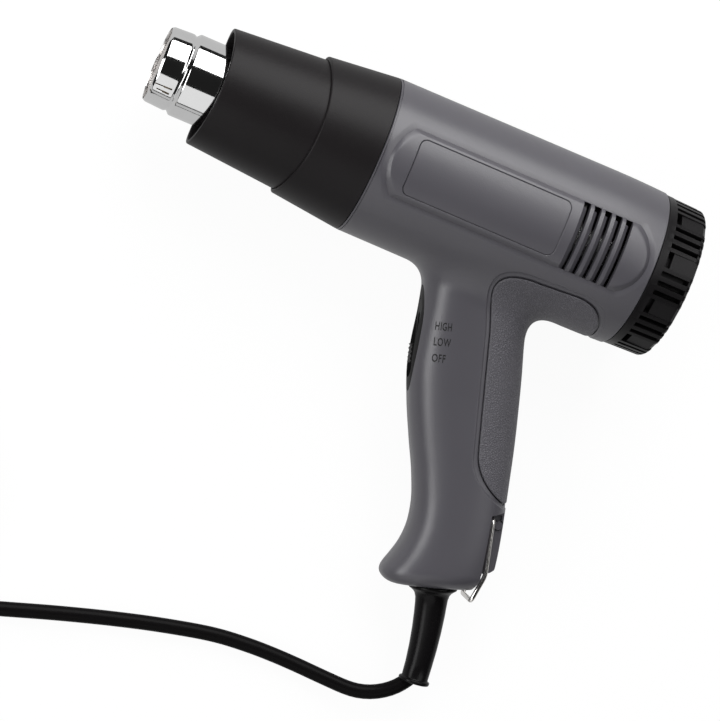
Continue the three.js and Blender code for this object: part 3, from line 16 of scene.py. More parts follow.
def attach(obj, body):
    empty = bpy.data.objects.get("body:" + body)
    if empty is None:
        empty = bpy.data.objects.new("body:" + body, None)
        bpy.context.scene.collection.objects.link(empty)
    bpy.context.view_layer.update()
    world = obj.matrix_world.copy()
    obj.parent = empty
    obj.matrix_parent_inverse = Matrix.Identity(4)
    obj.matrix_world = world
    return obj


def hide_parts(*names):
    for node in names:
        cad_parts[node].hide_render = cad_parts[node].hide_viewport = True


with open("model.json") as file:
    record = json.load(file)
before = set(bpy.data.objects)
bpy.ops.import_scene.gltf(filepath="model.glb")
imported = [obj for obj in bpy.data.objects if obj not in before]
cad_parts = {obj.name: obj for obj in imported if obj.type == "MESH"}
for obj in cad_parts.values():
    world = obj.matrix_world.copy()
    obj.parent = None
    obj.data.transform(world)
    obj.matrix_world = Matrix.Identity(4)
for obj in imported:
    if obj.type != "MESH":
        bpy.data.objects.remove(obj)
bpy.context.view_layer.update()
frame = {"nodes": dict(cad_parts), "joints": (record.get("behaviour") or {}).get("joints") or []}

MM = 0.001
MERGE_DISTANCE = 1e-4
FAN_PLACE = 80

# Barrel
BODY_LENGTH = 133
BODY_FRONT_X = 1
BODY_FRONT_R = 36.3
BODY_REAR_R = 37.3
BODY_TUCK = 0.65
BODY_TUCK_LENGTH = 25
EDGE_CHAMFER = 0.35
LIP_WIDTH = 0.6
LIP_GROOVE = 0.45
WALL = 2.8
SPLIT_GAP = 0.12
HALF_SPAN = 60
REACH = 300
ROUGH_OVERRUN = 9
FREE_OVERRUN = 6

# Raised pad, label outline and vents on each flank
PAD_FRONT_X = 5.5
PAD_REAR_X = 129.2
PAD_TOP_Y = 17.1
PAD_BOTTOM_Y = -13.4
PAD_FRONT_ARC = 7
PAD_REAR_ARC = 8.8
PAD_STEPS = [(-0.6, -1.4), (-0.6, -0.5), (-0.45, -0.36), (0.8, 0.48), (1.1, 0.62), (1.5, 0.7)]
PAD_RISE = 0.7
PAD_DIP = [(0.3, -0.5), (-0.6, -0.5), (-2.6, 0.03), (-2.6, 1.5), (0.3, 1.5)]
LABEL_FRONT_X = 15.6
LABEL_REAR_X = 88
LABEL_MARGIN = 2.6
LABEL_CORNER_R = 3
LABEL_LINE = 0.6
LABEL_DEPTH = 0.55
LABEL_CORNER_STEPS = 8
LABEL_LONG_STEPS = 36
LABEL_SHORT_STEPS = 12
VENT_COUNT = 5
VENT_FIRST_X = 94.8
VENT_PITCH = 5.15
VENT_WIDTH = 3.4
VENT_OVERRUN = 0.4
VENT_LOUVRE = [(0, 3), (VENT_WIDTH, 3), (VENT_WIDTH, -12), (2.2, -12), (2.1, -2.6), (0, -0.7)]
VENT_OPEN_END = 2.4

# Handle: places along its axis with its front edge, back edge and half thickness there
HANDLE_LEAN = math.radians(17)
HANDLE_X = 72
HANDLE_Y = -30
HANDLE_SQUARENESS = 2.6
HANDLE_END = 141
HANDLE_END_ROUND = 7.5
HANDLE_TOP_Y = -15
ROOT_BLEND_PLACES = (60, 95)
ROOT_BLENDS = (9.5, 14)
FRONT_LINE = [
    (-20, -27.9), (5, -27.9), (18, -28.6), (31, -30), (42, -30.6), (58, -29.2), (76, -26.2), (92, -23.2),
    (106, -22), (117, -23.5), (124, -26.3), (129, -29.4), (133.5, -32.4), (137, -34), (141, -34.6),
    (145, -34.8),
]
BACK_LINE = [
    (-20, 20.6), (5, 20.6), (31, 20.7), (42, 21.2), (58, 21.5), (76, 21.5), (92, 21), (106, 20.5),
    (117, 20), (124, 19.5), (129, 19), (133.5, 18.4), (139, 17.6), (145, 16.8),
]
HALF_LINE = [
    (-20, 18), (31, 18), (42, 17.8), (58, 17.5), (76, 17.3), (92, 17.3), (106, 17.6), (117, 18),
    (124, 18.3), (129, 18.5), (145, 18.5),
]
ROUGH_END = [
    (129, -29.4, 19, 18.5), (133.5, -32.9, 18, 18.5), (136.8, -34, 16.4, 18.5), (139.8, -32, 13.8, 17.6),
    (140.6, -27, 10.8, 15.6), (141.2, -20, 8, 12.5),
]
OUTER_VOXEL = 0.85
POCKET_VOXEL = 1.2
CAVITY_VOXEL = 2
ROUGH_PLACES = range(-5, 129, 4)

# Grip inlays
GRIP_EDGE = 0.5
GRIP_TOP_Y = -20.4
GRIP_CORNER_Y = -21.6
GRIP_FRONT_X = 73.3
GRIP_REAR_X = 127.7
GRIP_END = 103.9
GRIP_THICKNESS = 1.2
GRIP_POCKET = 1.5
GRIP_GROOVE = 2.3
GROOVE_SECTION = [
    (-0.4, 0.4), (-0.25, 0), (-0.05, -0.14), (0.2, -0.34), (0.5, -0.42), (1.6, -0.42), (1.75, -0.6),
    (1.85, -1.2), (2.9, -1.2), (2.9, 0.4),
]
GRIP_EDGE_SECTION = [(1.9, -0.6), (2.3, -0.55), (2.4, -0.3), (2.62, -0.1), (3, 0), (3.3, 0.4), (1.9, 0.4)]
GRIP_FOOT = 25
GRIP_FOOT_KNEE = 11
GRIP_FOOT_BACK = 18
GRIP_NECK = 22
GRIP_NECK_BACK = -0.6
GRIP_NECK_Y = -39.7
GRIP_NECK_SWING = 8.2
GRIP_CORNER = 15.5
GRIP_REAR_RUN = 17
GRIP_REAR_KNEE = 3
GRIP_REAR_DROP = 1.5
GRIP_BEYOND = 60

# Switch in the handle's front and the words beside it
SWITCH_MIDDLE = 30.35
SWITCH_OFF = 37.5
INSERT_LENGTH = 47.5
INSERT_WIDTH = 17.5
INSERT_BACK = -25
INSERT_GAP = 0.3
INSERT_POWER = 0.85
CHANNEL_LENGTH = 36
CHANNEL_WIDTH = 11
CHANNEL_FLOOR = -28
STEM_SLOT = (23.3, 4)
KNOB_LENGTH = 9
KNOB_WIDTH = 6.4
KNOB_BACK = -28.3
KNOB_FRONT = -30.8
KNOB_RIBS = 4
KNOB_RIB_DEPTH = 0.7
KNOB_MARGIN = 0.4
STEM_SIZE = (5, 3.4)
STEM_BACK = -24.7
WORDS = [("HIGH", 23.2, 0.55), ("LOW", 30.2, 0.59), ("OFF", 37.5, 0.62)]
WORD_BACK = -22.9
WORD_HEIGHT = 3.5
CAPITAL_SHARE = 0.69
WORD_SPACING = 1.12
WORD_WEIGHT = 0.1
WORD_DEPTH = 0.5
# Depth below the skin up to which the sunk letters are filled with near-black painted shade
WORD_SHADE_LEVEL = 0.22
WORD_CUTTER_SIDE = 20
WORD_CUTTER_HALF = 10

# Collar, guard and nozzle
COLLAR_FRONT_X = -32.3
COLLAR_REAR_X = 0.7
COLLAR_FRONT_R = 32.7
COLLAR_ROUND = 1.2
COLLAR_SWEEP = 5
COLLAR_SPIGOT = 9
COLLAR_WALL = 2
GUARD_FRONT_X = -75.4
GUARD_REAR_X = -13
GUARD_FRONT_R = 27.4
GUARD_TAPER = 0.0805
GUARD_WALL = 1.8
GUARD_SWEEP = 2.3
NOZZLE_MOUTH_X = -100.6
NOZZLE_FRONT_R = 17.5
NOZZLE_STEP_R = 18.1
NOZZLE_REAR_R = 19.1
NOZZLE_STEP_X = -89.2
NOZZLE_GROOVE = 0.7
NOZZLE_WALL = 0.9
NOZZLE_LIP = 0.1
NOZZLE_BEVEL = 0.6
NOZZLE_BEVEL_RUN = 1.2
NOZZLE_STEP_FALL = 1.3
NOZZLE_STEP_CLIMB = 1.6
NOZZLE_REAR_X = -24
NOZZLE_FLANGE_R = 23
LANCE_SLITS = [
    [(-99.4, -9.1), (-99.5, -8.4), (-91.5, -8.2), (-91.5, -8.9)],
    [(-97.6, -11.1), (-98.2, -10.3), (-91.9, -10.4), (-91.9, -11.2)],
]
LANCE_INNER = 8
LANCE_OUTER = 25
SCREEN_X = -99.3
SCREEN_R = 16.3
SCREEN_WIRES = 36
SCREEN_WIRE_R = 0.17
SEAT_GAP = 0.3
RIM_SIDES = 128

# Rear cap
CAP_R = 36.3
CAP_REAR_R = 35.7
CAP_LENGTH = 19.3
CAP_WALL = 3
CAP_SPIGOT = 8
CAP_SPIGOT_SLACK = 0.1
CAP_BAND = 3.8
CAP_EDGE = 2.6
CAP_PERIODS = 10
CAP_WIDE_SLOT = math.radians(12)
CAP_WIDE_DEPTH = 1.1
CAP_WIDE_OPENING = 2.7
CAP_RIB_GROOVE = 0.75
CAP_NARROW_SLOT = math.radians(3.6)
CAP_TURN = math.radians(4.3)
CAP_SLOT_STEP = math.radians(7.2)
CAP_SLOT_OVERRUN = 0.8
CAP_RIM_SHIFT = 1.5
CAP_CUTTER = 4.0
CAP_CUTTER_LONG = 6.0
CAP_CUTTER_TALL = 8.0

# Screws in wells of the right half
SCREW_HEAD_R = 2.9
SCREW_HEAD = 2.3
SCREW_R = 1.4
SCREW_LENGTH = 20
SCREW_SLOT = 0.9
SCREW_WELL_R = 3.2
SCREW_POST_R = 4.4
SCREW_INSET = 7.1
BARREL_SCREWS = [(15, 1), (15, -1), (108, 1)]
HANDLE_SCREWS = [(64, -4), (116, -15.5)]
BARREL_SEAT_Z = 13
HANDLE_SEAT_Z = 11

# Hanging bail and its rebates
BAIL_PIVOT = 108
BAIL_PIVOT_BACK = 14
BAIL_WIRE_R = 1.1
BAIL_HALF_WIDTH = 10.4
BAIL_BEND = 2
BAIL_CROSS_BAR = 145.6
BAIL_CROSS_BACK = 8
BAIL_KNEE = 134
BAIL_KNEE_BACK = 13.2
BAIL_END = 6.1
TONGUE_HALF = 8.2
TONGUE_WALL = 2.4
TONGUE_END = 133.3
TONGUE_BOSS = (110.7, 17, 1.95, 9)
BOSS_RING = 0.6
BOSS_RING_DEPTH = 0.8
PIVOT_POCKET = [(106.2, 13), (106, 18.6), (108.4, 18.6), (109.2, 15.6), (109.4, 13)]
PIVOT_POCKET_DEPTH = 1.2
REBATE_TOP = 105.8
REBATE_FRONT = 12.4
REBATE_BEND = 136
REBATE_BEND_FRONT = 10.2
REBATE_FOOT_SLOPE = 0.6
REBATE_TOP_SLOPE = 0.18
REBATE_BEYOND = 10
REBATE_BEHIND = 20
REBATE_SIDE = 25
TONGUE_TOE = ((-6, 20), (0, 17.4), (0, 12.6))

# Boot: places along the handle's axis with the radius there
BOOT_BACK = -8
BOOT_DRIFT = 4
BOOT_BEND_START = 146
BOOT_END = 186
BOOT_HOLE_R = 6.6
BOOT_OUTLINE = [
    (134.6, 8.6), (134.9, 9), (137.5, 9), (137.8, 8.7), (137.8, 6.15), (141.3, 6.15), (141.3, 10.7),
    (141.6, 11.1), (142.6, 11.2), (143.1, 10.9), (143.7, 9.9), (144.6, 8.8), (145.8, 8), (147.6, 7.5),
    (150, 7.3), (155, 7.1), (162, 6.8), (170, 6.5), (178, 6.22), (184.4, 6.1), (184.8, 6.4), (185.1, 7),
    (185.4, 7.2), (186.1, 7.2), (186.5, 7), (186.7, 6.6), (186.7, 6), (186.2, 5.6), (184, 5.4), (180, 5.2),
    (178, 4.2), (178, 0),
]
BOOT_SIDES = 48

# Lead on the floor, in the part's frame
CORD_R = 3.4
CORD_SIDES = 16
CORD_STEP = 2.5
LEAD_POINTS = [
    (88.4, -138.7, 13.1), (86.4, -142.6, 12.4), (82.9, -147.3, 11.4), (78.5, -151.1, 10.2), (73.3, -154, 9),
    (67.7, -155.7, 7.8), (62.2, -156.2, 6.7), (51, -155.8, 4.8), (38.6, -155.1, 3.7), (27, -154.7, 3.4),
    (14, -154.8, 3.4), (-2, -156, 3.4), (-25.2, -160.4, 3.4), (-46.7, -165.6, 3.4), (-71.3, -172.4, 3.4),
    (-97, -180.2, 3.4), (-118, -186.6, 3.5), (-139, -192.9, 4.1),
]
COIL_CENTRE = (-174.9, -151.1)
COIL_START = math.radians(-73.1)
COIL_END = math.radians(170)
COIL_WHOLE_TURNS = 6
COIL_OUTER_R = 50.4
COIL_PITCH = 7.3
COIL_LAYER = 7.25
COIL_LOW_Z = 4.5
COIL_STEPS = 60
PLUG_PLACE = (-212.6, -91.5)
PLUG_HEADING = math.radians(75)
PLUG_HALF_THICKNESS = 7.5
PLUG_SECTIONS = [
    (0, 4.2, 4.2), (0.3, 4.8, 4.8), (1.2, 5.1, 5.05), (4, 5.7, 5.5), (7, 6.7, 6.1), (11, 8.5, 6.75),
    (14, 10.2, 7.2), (17, 11.4, 7.45), (20, 11.8, 7.5), (27, 11.95, 7.5), (31, 11.95, 7.5),
    (32.6, 11.7, 7.3), (33.6, 11.1, 6.8), (34, 10.3, 6.1),
]
PLUG_LENGTH = 34
PLUG_HALF_WIDTH = 11.95
PLUG_NECK = 17
PLUG_SQUARENESS = 2.9
PLUG_GROOVES = (20.5, 23, 25.5, 28)
PLUG_GROOVE_WIDTH = 1.3
PLUG_GROOVE_INNER = 0.55
PLUG_GROOVE_OUTER = 2
PLUG_GROOVE_HALF = 5
BLADE_LENGTH = 17
BLADE_ROOT = 7
BLADE_HEIGHT = 6.3
BLADE_STOCK = 1.5
BLADE_SPACING = 12.7
BLADE_HOLE_R = 1.6
BLADE_HOLE_PLACE = 4.6
BLADE_TIP = (2, 1.4)
TIE_BOX = ((-178.9, -125.98, 0), (-170.9, -99.69, 16.25))
TIE_THICKNESS = 0.8
TIE_CORNER = 3.2
TIE_LAP_START = 8
TIE_LAP_END = 3
TIE_LAP_LINE = 0.35
TIE_LAP_LINE_DEPTH = 0.3
TIE_LAP_EDGE = 0.8
TIE_LAP_EDGE_DEPTH = 0.22

# Camera in the part's frame
CAMERA_PLACE = (-241.449, -123.645, 1345.136)
CAMERA_RIGHT = (0.906958, 0.369812, 0.201662)
CAMERA_DOWN = (0.378055, -0.925779, -0.002557)
CAMERA_AHEAD = (0.185748, 0.078558, -0.979452)
CAMERA_LENS = 150

# Stage in metres, each lamp with its way right, up and towards the camera, its sizes and its power
FLOOR_HALF = 4
FLOOR_GLOW = 0.95
FLOOR_GLOSS_FALL = 0.4
WORLD_LIGHT = 0.015
LAMP_TARGET = (0.02, 0, 0.03)
LAMPS = {
    "upper": ((0.4, 0.92, 0.66), (1.12, 1.12), 20.8),
    "left": ((-0.88, 0.12, 0.94), (1.2, 0.5), 10.5),
    "lower": ((-0.36, -0.88, 0.72), (1.3, 1.3), 5),
    "right": ((1.05, 0.1, 0.95), (0.9, 0.9), 5.5),
}


# Node trees

class Socket:
    """An output of a node; arithmetic on it adds Math nodes to its tree."""

    def __init__(self, net, output):
        self.net = net
        self.output = output

    def math(self, operation, first, second):
        return self.net.add("ShaderNodeMath", {"operation": operation}, {0: first, 1: second})

    def __add__(self, other):
        return self.math("ADD", self, other)

    def __radd__(self, other):
        return self.math("ADD", other, self)

    def __sub__(self, other):
        return self.math("SUBTRACT", self, other)

    def __rsub__(self, other):
        return self.math("SUBTRACT", other, self)

    def __mul__(self, other):
        return self.math("MULTIPLY", self, other)

    def __rmul__(self, other):
        return self.math("MULTIPLY", other, self)

    def __truediv__(self, other):
        return self.math("DIVIDE", self, other)

    def __pow__(self, other):
        return self.math("POWER", self, other)


class Net:
    """A node tree, for a finish or for a geometry."""

    def __init__(self, tree):
        self.tree = tree

    def add(self, kind, settings=None, inputs=None, output=0):
        node = self.tree.nodes.new(kind)
        for name, value in (settings or {}).items():
            setattr(node, name, value)
        self.feed(node, inputs or {})
        return Socket(self, node.outputs[output])

    def feed(self, node, inputs):
        """Values or links for a node's inputs; a list of links for an input that takes several."""
        for key, value in inputs.items():
            links = value if isinstance(value, list) else [value]
            if isinstance(links[0], Socket):
                for link in links:
                    self.tree.links.new(link.output, node.inputs[key])
            else:
                node.inputs[key].default_value = value


class Finish(Net):
    """A material with one Principled shader."""

    def __init__(self, name, gloss=0.5, **constants):
        self.material = bpy.data.materials.new(name)
        self.material.use_nodes = True
        super().__init__(self.material.node_tree)
        self.shader = self.tree.nodes["Principled BSDF"]
        self.feed(self.shader, {"Specular IOR Level": gloss})
        self.paint(**constants)

    def place(self):
        return self.add("ShaderNodeTexCoord", output=3)

    def noise(self, scale, detail=2.0, vector=None):
        inputs = {"Vector": vector or self.place(), "Scale": scale, "Detail": detail}
        return self.add("ShaderNodeTexNoise", None, inputs)

    def blend(self, share, first, second):
        return self.add("ShaderNodeMix", {"data_type": "RGBA"}, {0: share, 6: first, 7: second}, output=2)

    def bump(self, height, strength, distance):
        inputs = {"Strength": strength, "Distance": distance, "Height": height}
        self.feed(self.shader, {"Normal": self.add("ShaderNodeBump", None, inputs)})

    def paint(self, **sockets):
        self.feed(self.shader, {key.replace("_", " ").title(): value for key, value in sockets.items()})


def grey(level, red=1.0, blue=1.0):
    """A grey as a linear colour, with a little more or less red and blue."""
    return (level * red, level, level * blue, 1)


def moulded(name, dark, light, roughness, grain, relief, gloss=0.5):
    """Moulded plastic: clouds of tone, a fine spark-eroded grain and an uneven gloss."""
    finish = Finish(name, gloss)
    clouds = finish.noise(28, 3.0)
    fine = finish.noise(grain, 3.0)
    finish.paint(base_color=finish.blend(clouds, dark, light), roughness=roughness - 0.06 + 0.12 * fine)
    finish.bump(fine, 0.35, relief)
    return finish.material


def leather(name, dark, light, roughness, cell):
    """Grip with a leather grain: rounded cells with dark furrows between them."""
    finish = Finish(name)
    bent = finish.noise(320, 2.0)
    inputs = {"Vector": finish.place(), "Scale": 1 / (cell * MM)}
    cells = finish.add("ShaderNodeTexVoronoi", {"feature": "DISTANCE_TO_EDGE"}, inputs)
    grain = finish.add("ShaderNodeMapRange", None, {"Value": cells, 1: 0.02, 2: 0.3})
    relief = grain * 0.8 + bent * 0.2
    finish.paint(base_color=finish.blend(grain, dark, light), roughness=roughness + 0.1 * (1 - grain))
    finish.bump(relief, 0.5, 0.0004)
    return finish.material


def metal(name, colour, dull, roughness, scratch):
    """Bare metal with faint scratches and stains."""
    finish = Finish(name, metallic=1.0)
    stains = finish.noise(90, 3.0)
    lines = finish.noise(scratch, 4.0)
    uneven = roughness * 0.6 + roughness * 0.8 * lines
    finish.paint(base_color=finish.blend(stains, colour, dull), roughness=uneven)
    finish.bump(lines, 0.06, 0.00005)
    return finish.material


def drawn_rubber(name, dark, light, roughness, gloss):
    """Jacket of the lead: faint lines along it from the drawing, on the piece's own UV map."""
    finish = Finish(name, gloss)
    uv = finish.add("ShaderNodeUVMap", {"uv_map": "along"})
    stretched = finish.add("ShaderNodeMapping", None, {"Vector": uv, "Scale": (24, 14, 1)})
    lines = finish.noise(1.0, 3.0, stretched)
    finish.paint(base_color=finish.blend(lines, dark, light), roughness=roughness - 0.05 + 0.1 * lines)
    finish.bump(lines, 0.12, 0.0002)
    return finish.material


HOUSING = moulded("housing_plastic", grey(0.058, 1.04, 1.15), grey(0.066, 1.04, 1.15), 0.335, 2200, 0.00012)
GRIP = leather("grip_leather", grey(0.062, 1.04, 1.15), grey(0.082, 1.04, 1.15), 0.45, 1.1)
GUARD = moulded("guard_black", grey(0.0055, 1.18, 1.08), grey(0.0075, 1.18, 1.08), 0.42, 2600, 0.00012, 0.15)
CAP = moulded("cap_black", grey(0.0045, 1.1, 1.1), grey(0.006, 1.1, 1.1), 0.36, 1500, 0.00008, 0.15)
SWITCH_BLACK = moulded("switch_black", grey(0.009), grey(0.012), 0.5, 1500, 0.00008, 0.1)
# Near-black finish for the bottoms of the sunk words: painted shade standing in for the shade inside the
# letters, not a printed ink
WORD_SHADE = moulded("painted_word_shade", grey(0.014), grey(0.02), 0.6, 1500, 0.00005, 0.2)
RUBBER = moulded("boot_rubber", grey(0.003, 1.1, 1.1), grey(0.005, 1.1, 1.1), 0.26, 1200, 0.00006, 0.11)
JACKET = drawn_rubber("lead_jacket", grey(0.003, 1.1, 1.05), grey(0.005, 1.1, 1.05), 0.3, 0.035)
CHROME = metal("nozzle_chrome", grey(0.78), grey(0.7), 0.07, 400)
STEEL = metal("bright_steel", grey(0.62), grey(0.5), 0.24, 700)
BAIL_WIRE = metal("bail_wire", grey(0.93, 1.03, 0.97), grey(0.82, 1.03, 0.97), 0.2, 80)
SCREEN_STEEL = metal("screen_steel", grey(0.78, 1.05, 0.97), grey(0.64, 1.05, 0.97), 0.4, 700)
BRASS = metal("brass", (0.6, 0.4, 0.13, 1), (0.48, 0.31, 0.1, 1), 0.3, 700)
COPPER = metal("copper", (0.66, 0.3, 0.16, 1), (0.5, 0.22, 0.12, 1), 0.34, 700)
MESH_WIRE = metal("screen_wire", (0.33, 0.3, 0.27, 1), (0.24, 0.2, 0.17, 1), 0.42, 700)
MICA = moulded("mica_board", (0.42, 0.34, 0.23, 1), (0.5, 0.42, 0.3, 1), 0.5, 500, 0.0001)
INNER_PLASTIC = moulded("inner_plastic", grey(0.035), grey(0.045), 0.5, 1400, 0.0001)
FERRITE = moulded("ferrite", grey(0.035), grey(0.05), 0.65, 900, 0.00015)
BOARD = moulded("board_brown", (0.19, 0.1, 0.035, 1), (0.24, 0.13, 0.05, 1), 0.5, 900, 0.0001)
WIRE_SKIN = moulded("wire_skin", (0.02, 0.06, 0.2, 1), (0.03, 0.08, 0.26, 1), 0.45, 900, 0.0001)


# Frames

def tool_frame():
    """From the tool's millimetres to the part's metres, read off the joints."""
    joints = {joint["name"]: joint for joint in frame["joints"]}
    along = Vector(joints["fan_spin"]["axis"]).normalized()
    left = Vector(joints["bail_hinge"]["axis"]).normalized()
    up = left.cross(along)
    turn = Matrix((along, up, left)).transposed().to_4x4()
    origin = Vector(joints["fan_spin"]["pos_m"]) - FAN_PLACE * MM * along
    return Matrix.Translation(origin) @ turn @ Matrix.Scale(MM, 4)


def handle_frame():
    """From the handle's frame, X down its axis and Y to its back, to the tool's."""
    sine, cosine = math.sin(HANDLE_LEAN), math.cos(HANDLE_LEAN)
    turn = Matrix(((sine, cosine, 0), (-cosine, sine, 0), (0, 0, 1))).to_4x4()
    return Matrix.Translation((HANDLE_X, HANDLE_Y, 0)) @ turn


TOOL = tool_frame()
HANDLE = handle_frame()
FLOOR = Matrix.Scale(MM, 4)
PLUG = FLOOR @ Matrix.Translation((*PLUG_PLACE, PLUG_HALF_THICKNESS)) @ Matrix.Rotation(PLUG_HEADING, 4, "Z")


def on_handle(along, back, side=0.0):
    return HANDLE @ Vector((along, back, side))


def body_radius(x):
    """Radius of the barrel: a slight cone that draws in a little before its rear edge."""
    tuck = np.maximum(x - BODY_LENGTH + BODY_TUCK_LENGTH, 0) / BODY_TUCK_LENGTH
    return BODY_FRONT_R + (BODY_REAR_R - BODY_FRONT_R) * x / BODY_LENGTH - BODY_TUCK * tuck**2


# Drafts: closed meshes in millimetres, for joining and cutting

def linked(data):
    """An object with this mesh, text, lamp or camera, in the scene."""
    made = bpy.data.objects.new(data.name, data)
    bpy.context.scene.collection.objects.link(made)
    return made


def cleaned(mesh):
    """The mesh with its doubles merged and its faces turned outwards."""
    shape = bmesh.new()
    shape.from_mesh(mesh)
    bmesh.ops.remove_doubles(shape, verts=shape.verts, dist=MERGE_DISTANCE)
    bmesh.ops.recalc_face_normals(shape, faces=shape.faces)
    shape.to_mesh(mesh)
    shape.free()
    return mesh


def draft(vertices, faces, place=None):
    mesh = bpy.data.meshes.new("draft")
    mesh.from_pydata([tuple(map(float, vertex)) for vertex in vertices], [], faces)
    cleaned(mesh)
    if place is not None:
        mesh.transform(place)
    return linked(mesh)


def copied(source):
    return linked(source.data.copy())


def bake(made):
    """The evaluated mesh takes the place of the object's own, and no modifier is left."""
    graph = bpy.context.evaluated_depsgraph_get()
    mesh = bpy.data.meshes.new_from_object(made.evaluated_get(graph))
    made.modifiers.clear()
    made.data = mesh
    return made


def combine(target, other, operation):
    step = target.modifiers.new("combine", "BOOLEAN")
    step.operation = operation
    step.solver = "MANIFOLD"
    step.object = other
    bake(target)
    bpy.data.objects.remove(other)
    return target


def join(target, other):
    return combine(target, other, "UNION")


def cut(target, other):
    return combine(target, other, "DIFFERENCE")


def keep(target, other):
    return combine(target, other, "INTERSECT")


def ring_faces(near, far, count):
    """Faces between two rings of vertices, by the numbers that the rings start at."""
    return [(near + k, near + (k + 1) % count, far + (k + 1) % count, far + k) for k in range(count)]


def loft(rings, place=None, closed=False):
    """A skin over rings of as many points each, with flat ends, or closed to a loop."""
    count = len(rings[0])
    vertices = [point for ring in rings for point in ring]
    faces = []
    last = len(rings) if closed else len(rings) - 1
    for i in range(last):
        faces += ring_faces(i * count, (i + 1) % len(rings) * count, count)
    if not closed:
        faces.append(tuple(range(count)))
        faces.append(tuple(range((len(rings) - 1) * count, len(rings) * count)))
    return draft(vertices, faces, place)


def prism(outline, low, high, place=None):
    return loft([[(x, y, low) for x, y in outline], [(x, y, high) for x, y in outline]], place)


def block(low, high):
    (x0, y0, z0), (x1, y1, z1) = low, high
    return prism([(x0, y0), (x1, y0), (x1, y1), (x0, y1)], z0, z1)


def rod(radius, start, end, sides, place=None):
    """A round bar between two points."""
    start, end = Vector(start), Vector(end)
    turn = (end - start).to_track_quat("Z", "Y")
    circle = [Vector((radius * math.cos(a), radius * math.sin(a), 0)) for a in angles(sides)]
    return loft([[start + turn @ point for point in circle], [end + turn @ point for point in circle]], place)


def angles(count):
    return [2 * math.pi * i / count for i in range(count)]


def signed_power(value, power):
    return math.copysign(abs(value) ** power, value)


def lathe(profile, sides=RIM_SIDES):
    """A closed profile of (x, radius) corners turned about the X axis."""
    rings = [[(x, r * math.cos(a), r * math.sin(a)) for x, r in profile] for a in angles(sides)]
    return loft(rings, closed=True)


def bezier(start, middle, end, steps):
    shares = [i / steps for i in range(steps + 1)]
    weights = [((1 - u) ** 2, 2 * u * (1 - u), u * u) for u in shares]
    return [tuple(a * i + b * j + c * k for i, j, k in zip(start, middle, end)) for a, b, c in weights]


def hermite(u, start, leave, end, arrive):
    """A cubic from start to end with its slopes there."""
    return (
        start * (2 * u**3 - 3 * u**2 + 1) + leave * (u**3 - 2 * u**2 + u)
        + end * (3 * u**2 - 2 * u**3) + arrive * (u**3 - u**2)
    )


def eased(corners, radius, steps=5):
    """A closed outline with its corners rounded."""
    points = []
    count = len(corners)
    for i, corner in enumerate(corners):
        here = Vector(corner)
        before, after = Vector(corners[i - 1]), Vector(corners[(i + 1) % count])
        runs = [min(radius, 0.45 * (side - here).length) for side in (before, after)]
        start = here + (before - here).normalized() * runs[0]
        end = here + (after - here).normalized() * runs[1]
        points += bezier(start, here, end, steps)
    return points


def swept_back(made, front_x, rear_x, sweep):
    """Pushes the front rim of a turned piece back at its two sides, and less towards rear_x."""
    for vertex in made.data.vertices:
        x, y, z = vertex.co
        share = min(max((rear_x - x) / (rear_x - front_x), 0), 1)
        vertex.co.x += sweep * share * z * z / max(y * y + z * z, 1e-9)
    return made


def tube(points, radius, sides):
    """A round tube along points, its rings carried along without twist."""
    line = np.array(points, float)
    ahead = np.gradient(line, axis=0)
    ahead /= np.linalg.norm(ahead, axis=1)[:, None]
    side = np.cross(ahead[0], (0, 0, 1) if abs(ahead[0][2]) < 0.9 else (0, 1, 0))
    rings = []
    turns = np.array(angles(sides))
    for point, way in zip(line, ahead):
        side = side - way * (side @ way)
        side /= np.linalg.norm(side)
        other = np.cross(way, side)
        rings.append(point + radius * (np.outer(np.cos(turns), side) + np.outer(np.sin(turns), other)))
    return loft(rings)


def grown(name, sizes, build, finish, points=((0, 0, 0),), faces=()):
    """A geometry tree with named sizes, run once over points or a shape and made a plain mesh."""
    tree = bpy.data.node_groups.new(name, "GeometryNodeTree")
    tree.interface.new_socket("Geometry", in_out="INPUT", socket_type="NodeSocketGeometry")
    tree.interface.new_socket("Geometry", in_out="OUTPUT", socket_type="NodeSocketGeometry")
    for label, value in sizes.items():
        kind = "NodeSocketInt" if isinstance(value, int) else "NodeSocketFloat"
        tree.interface.new_socket(label, in_out="INPUT", socket_type=kind)
    net = Net(tree)
    given = tree.nodes.new("NodeGroupInput")
    shape = build(net, *[Socket(net, output) for output in given.outputs[:len(sizes) + 1]])
    real = net.add("GeometryNodeRealizeInstances", None, {0: shape})
    painted = net.add("GeometryNodeSetMaterial", None, {"Geometry": real, "Material": finish})
    net.feed(tree.nodes.new("NodeGroupOutput"), {0: painted})
    mesh = bpy.data.meshes.new(name)
    mesh.from_pydata(points, [], faces)
    made = linked(mesh)
    step = made.modifiers.new(name, "NODES")
    step.node_group = tree
    for item in tree.interface.items_tree:
        if item.in_out == "INPUT" and item.name in sizes:
            step[item.identifier] = sizes[item.name]
    return bake(made)


def done(made, name, finish, nodes=(), body="gun", place=TOOL, sharp=35):
    """A finished piece: named, painted, shaded, in the part's frame, on its body."""
    made.name = made.data.name = name
    made.data.transform(place)
    made.data.materials.clear()
    made.data.materials.append(finish)
    made.data.polygons.foreach_set("material_index", [0] * len(made.data.polygons))
    made.data.shade_smooth()
    made.data.set_sharp_from_angle(angle=math.radians(sharp))
    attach(made, body)
    if nodes:
        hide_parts(*nodes)
    return made


# Camera

def add_camera():
    camera = linked(bpy.data.cameras.new("photo_camera"))
    right, down, ahead = Vector(CAMERA_RIGHT), Vector(CAMERA_DOWN), Vector(CAMERA_AHEAD)
    turn = Matrix((right, -down, -ahead)).transposed().to_4x4()
    camera.matrix_world = Matrix.Translation(Vector(CAMERA_PLACE) * MM) @ turn
    camera.data.lens = CAMERA_LENS
    camera.data.clip_end = 20
    bpy.context.scene.camera = camera


add_camera()


# Lead: from inside the boot along the floor to the coil, and from the coil to the plug

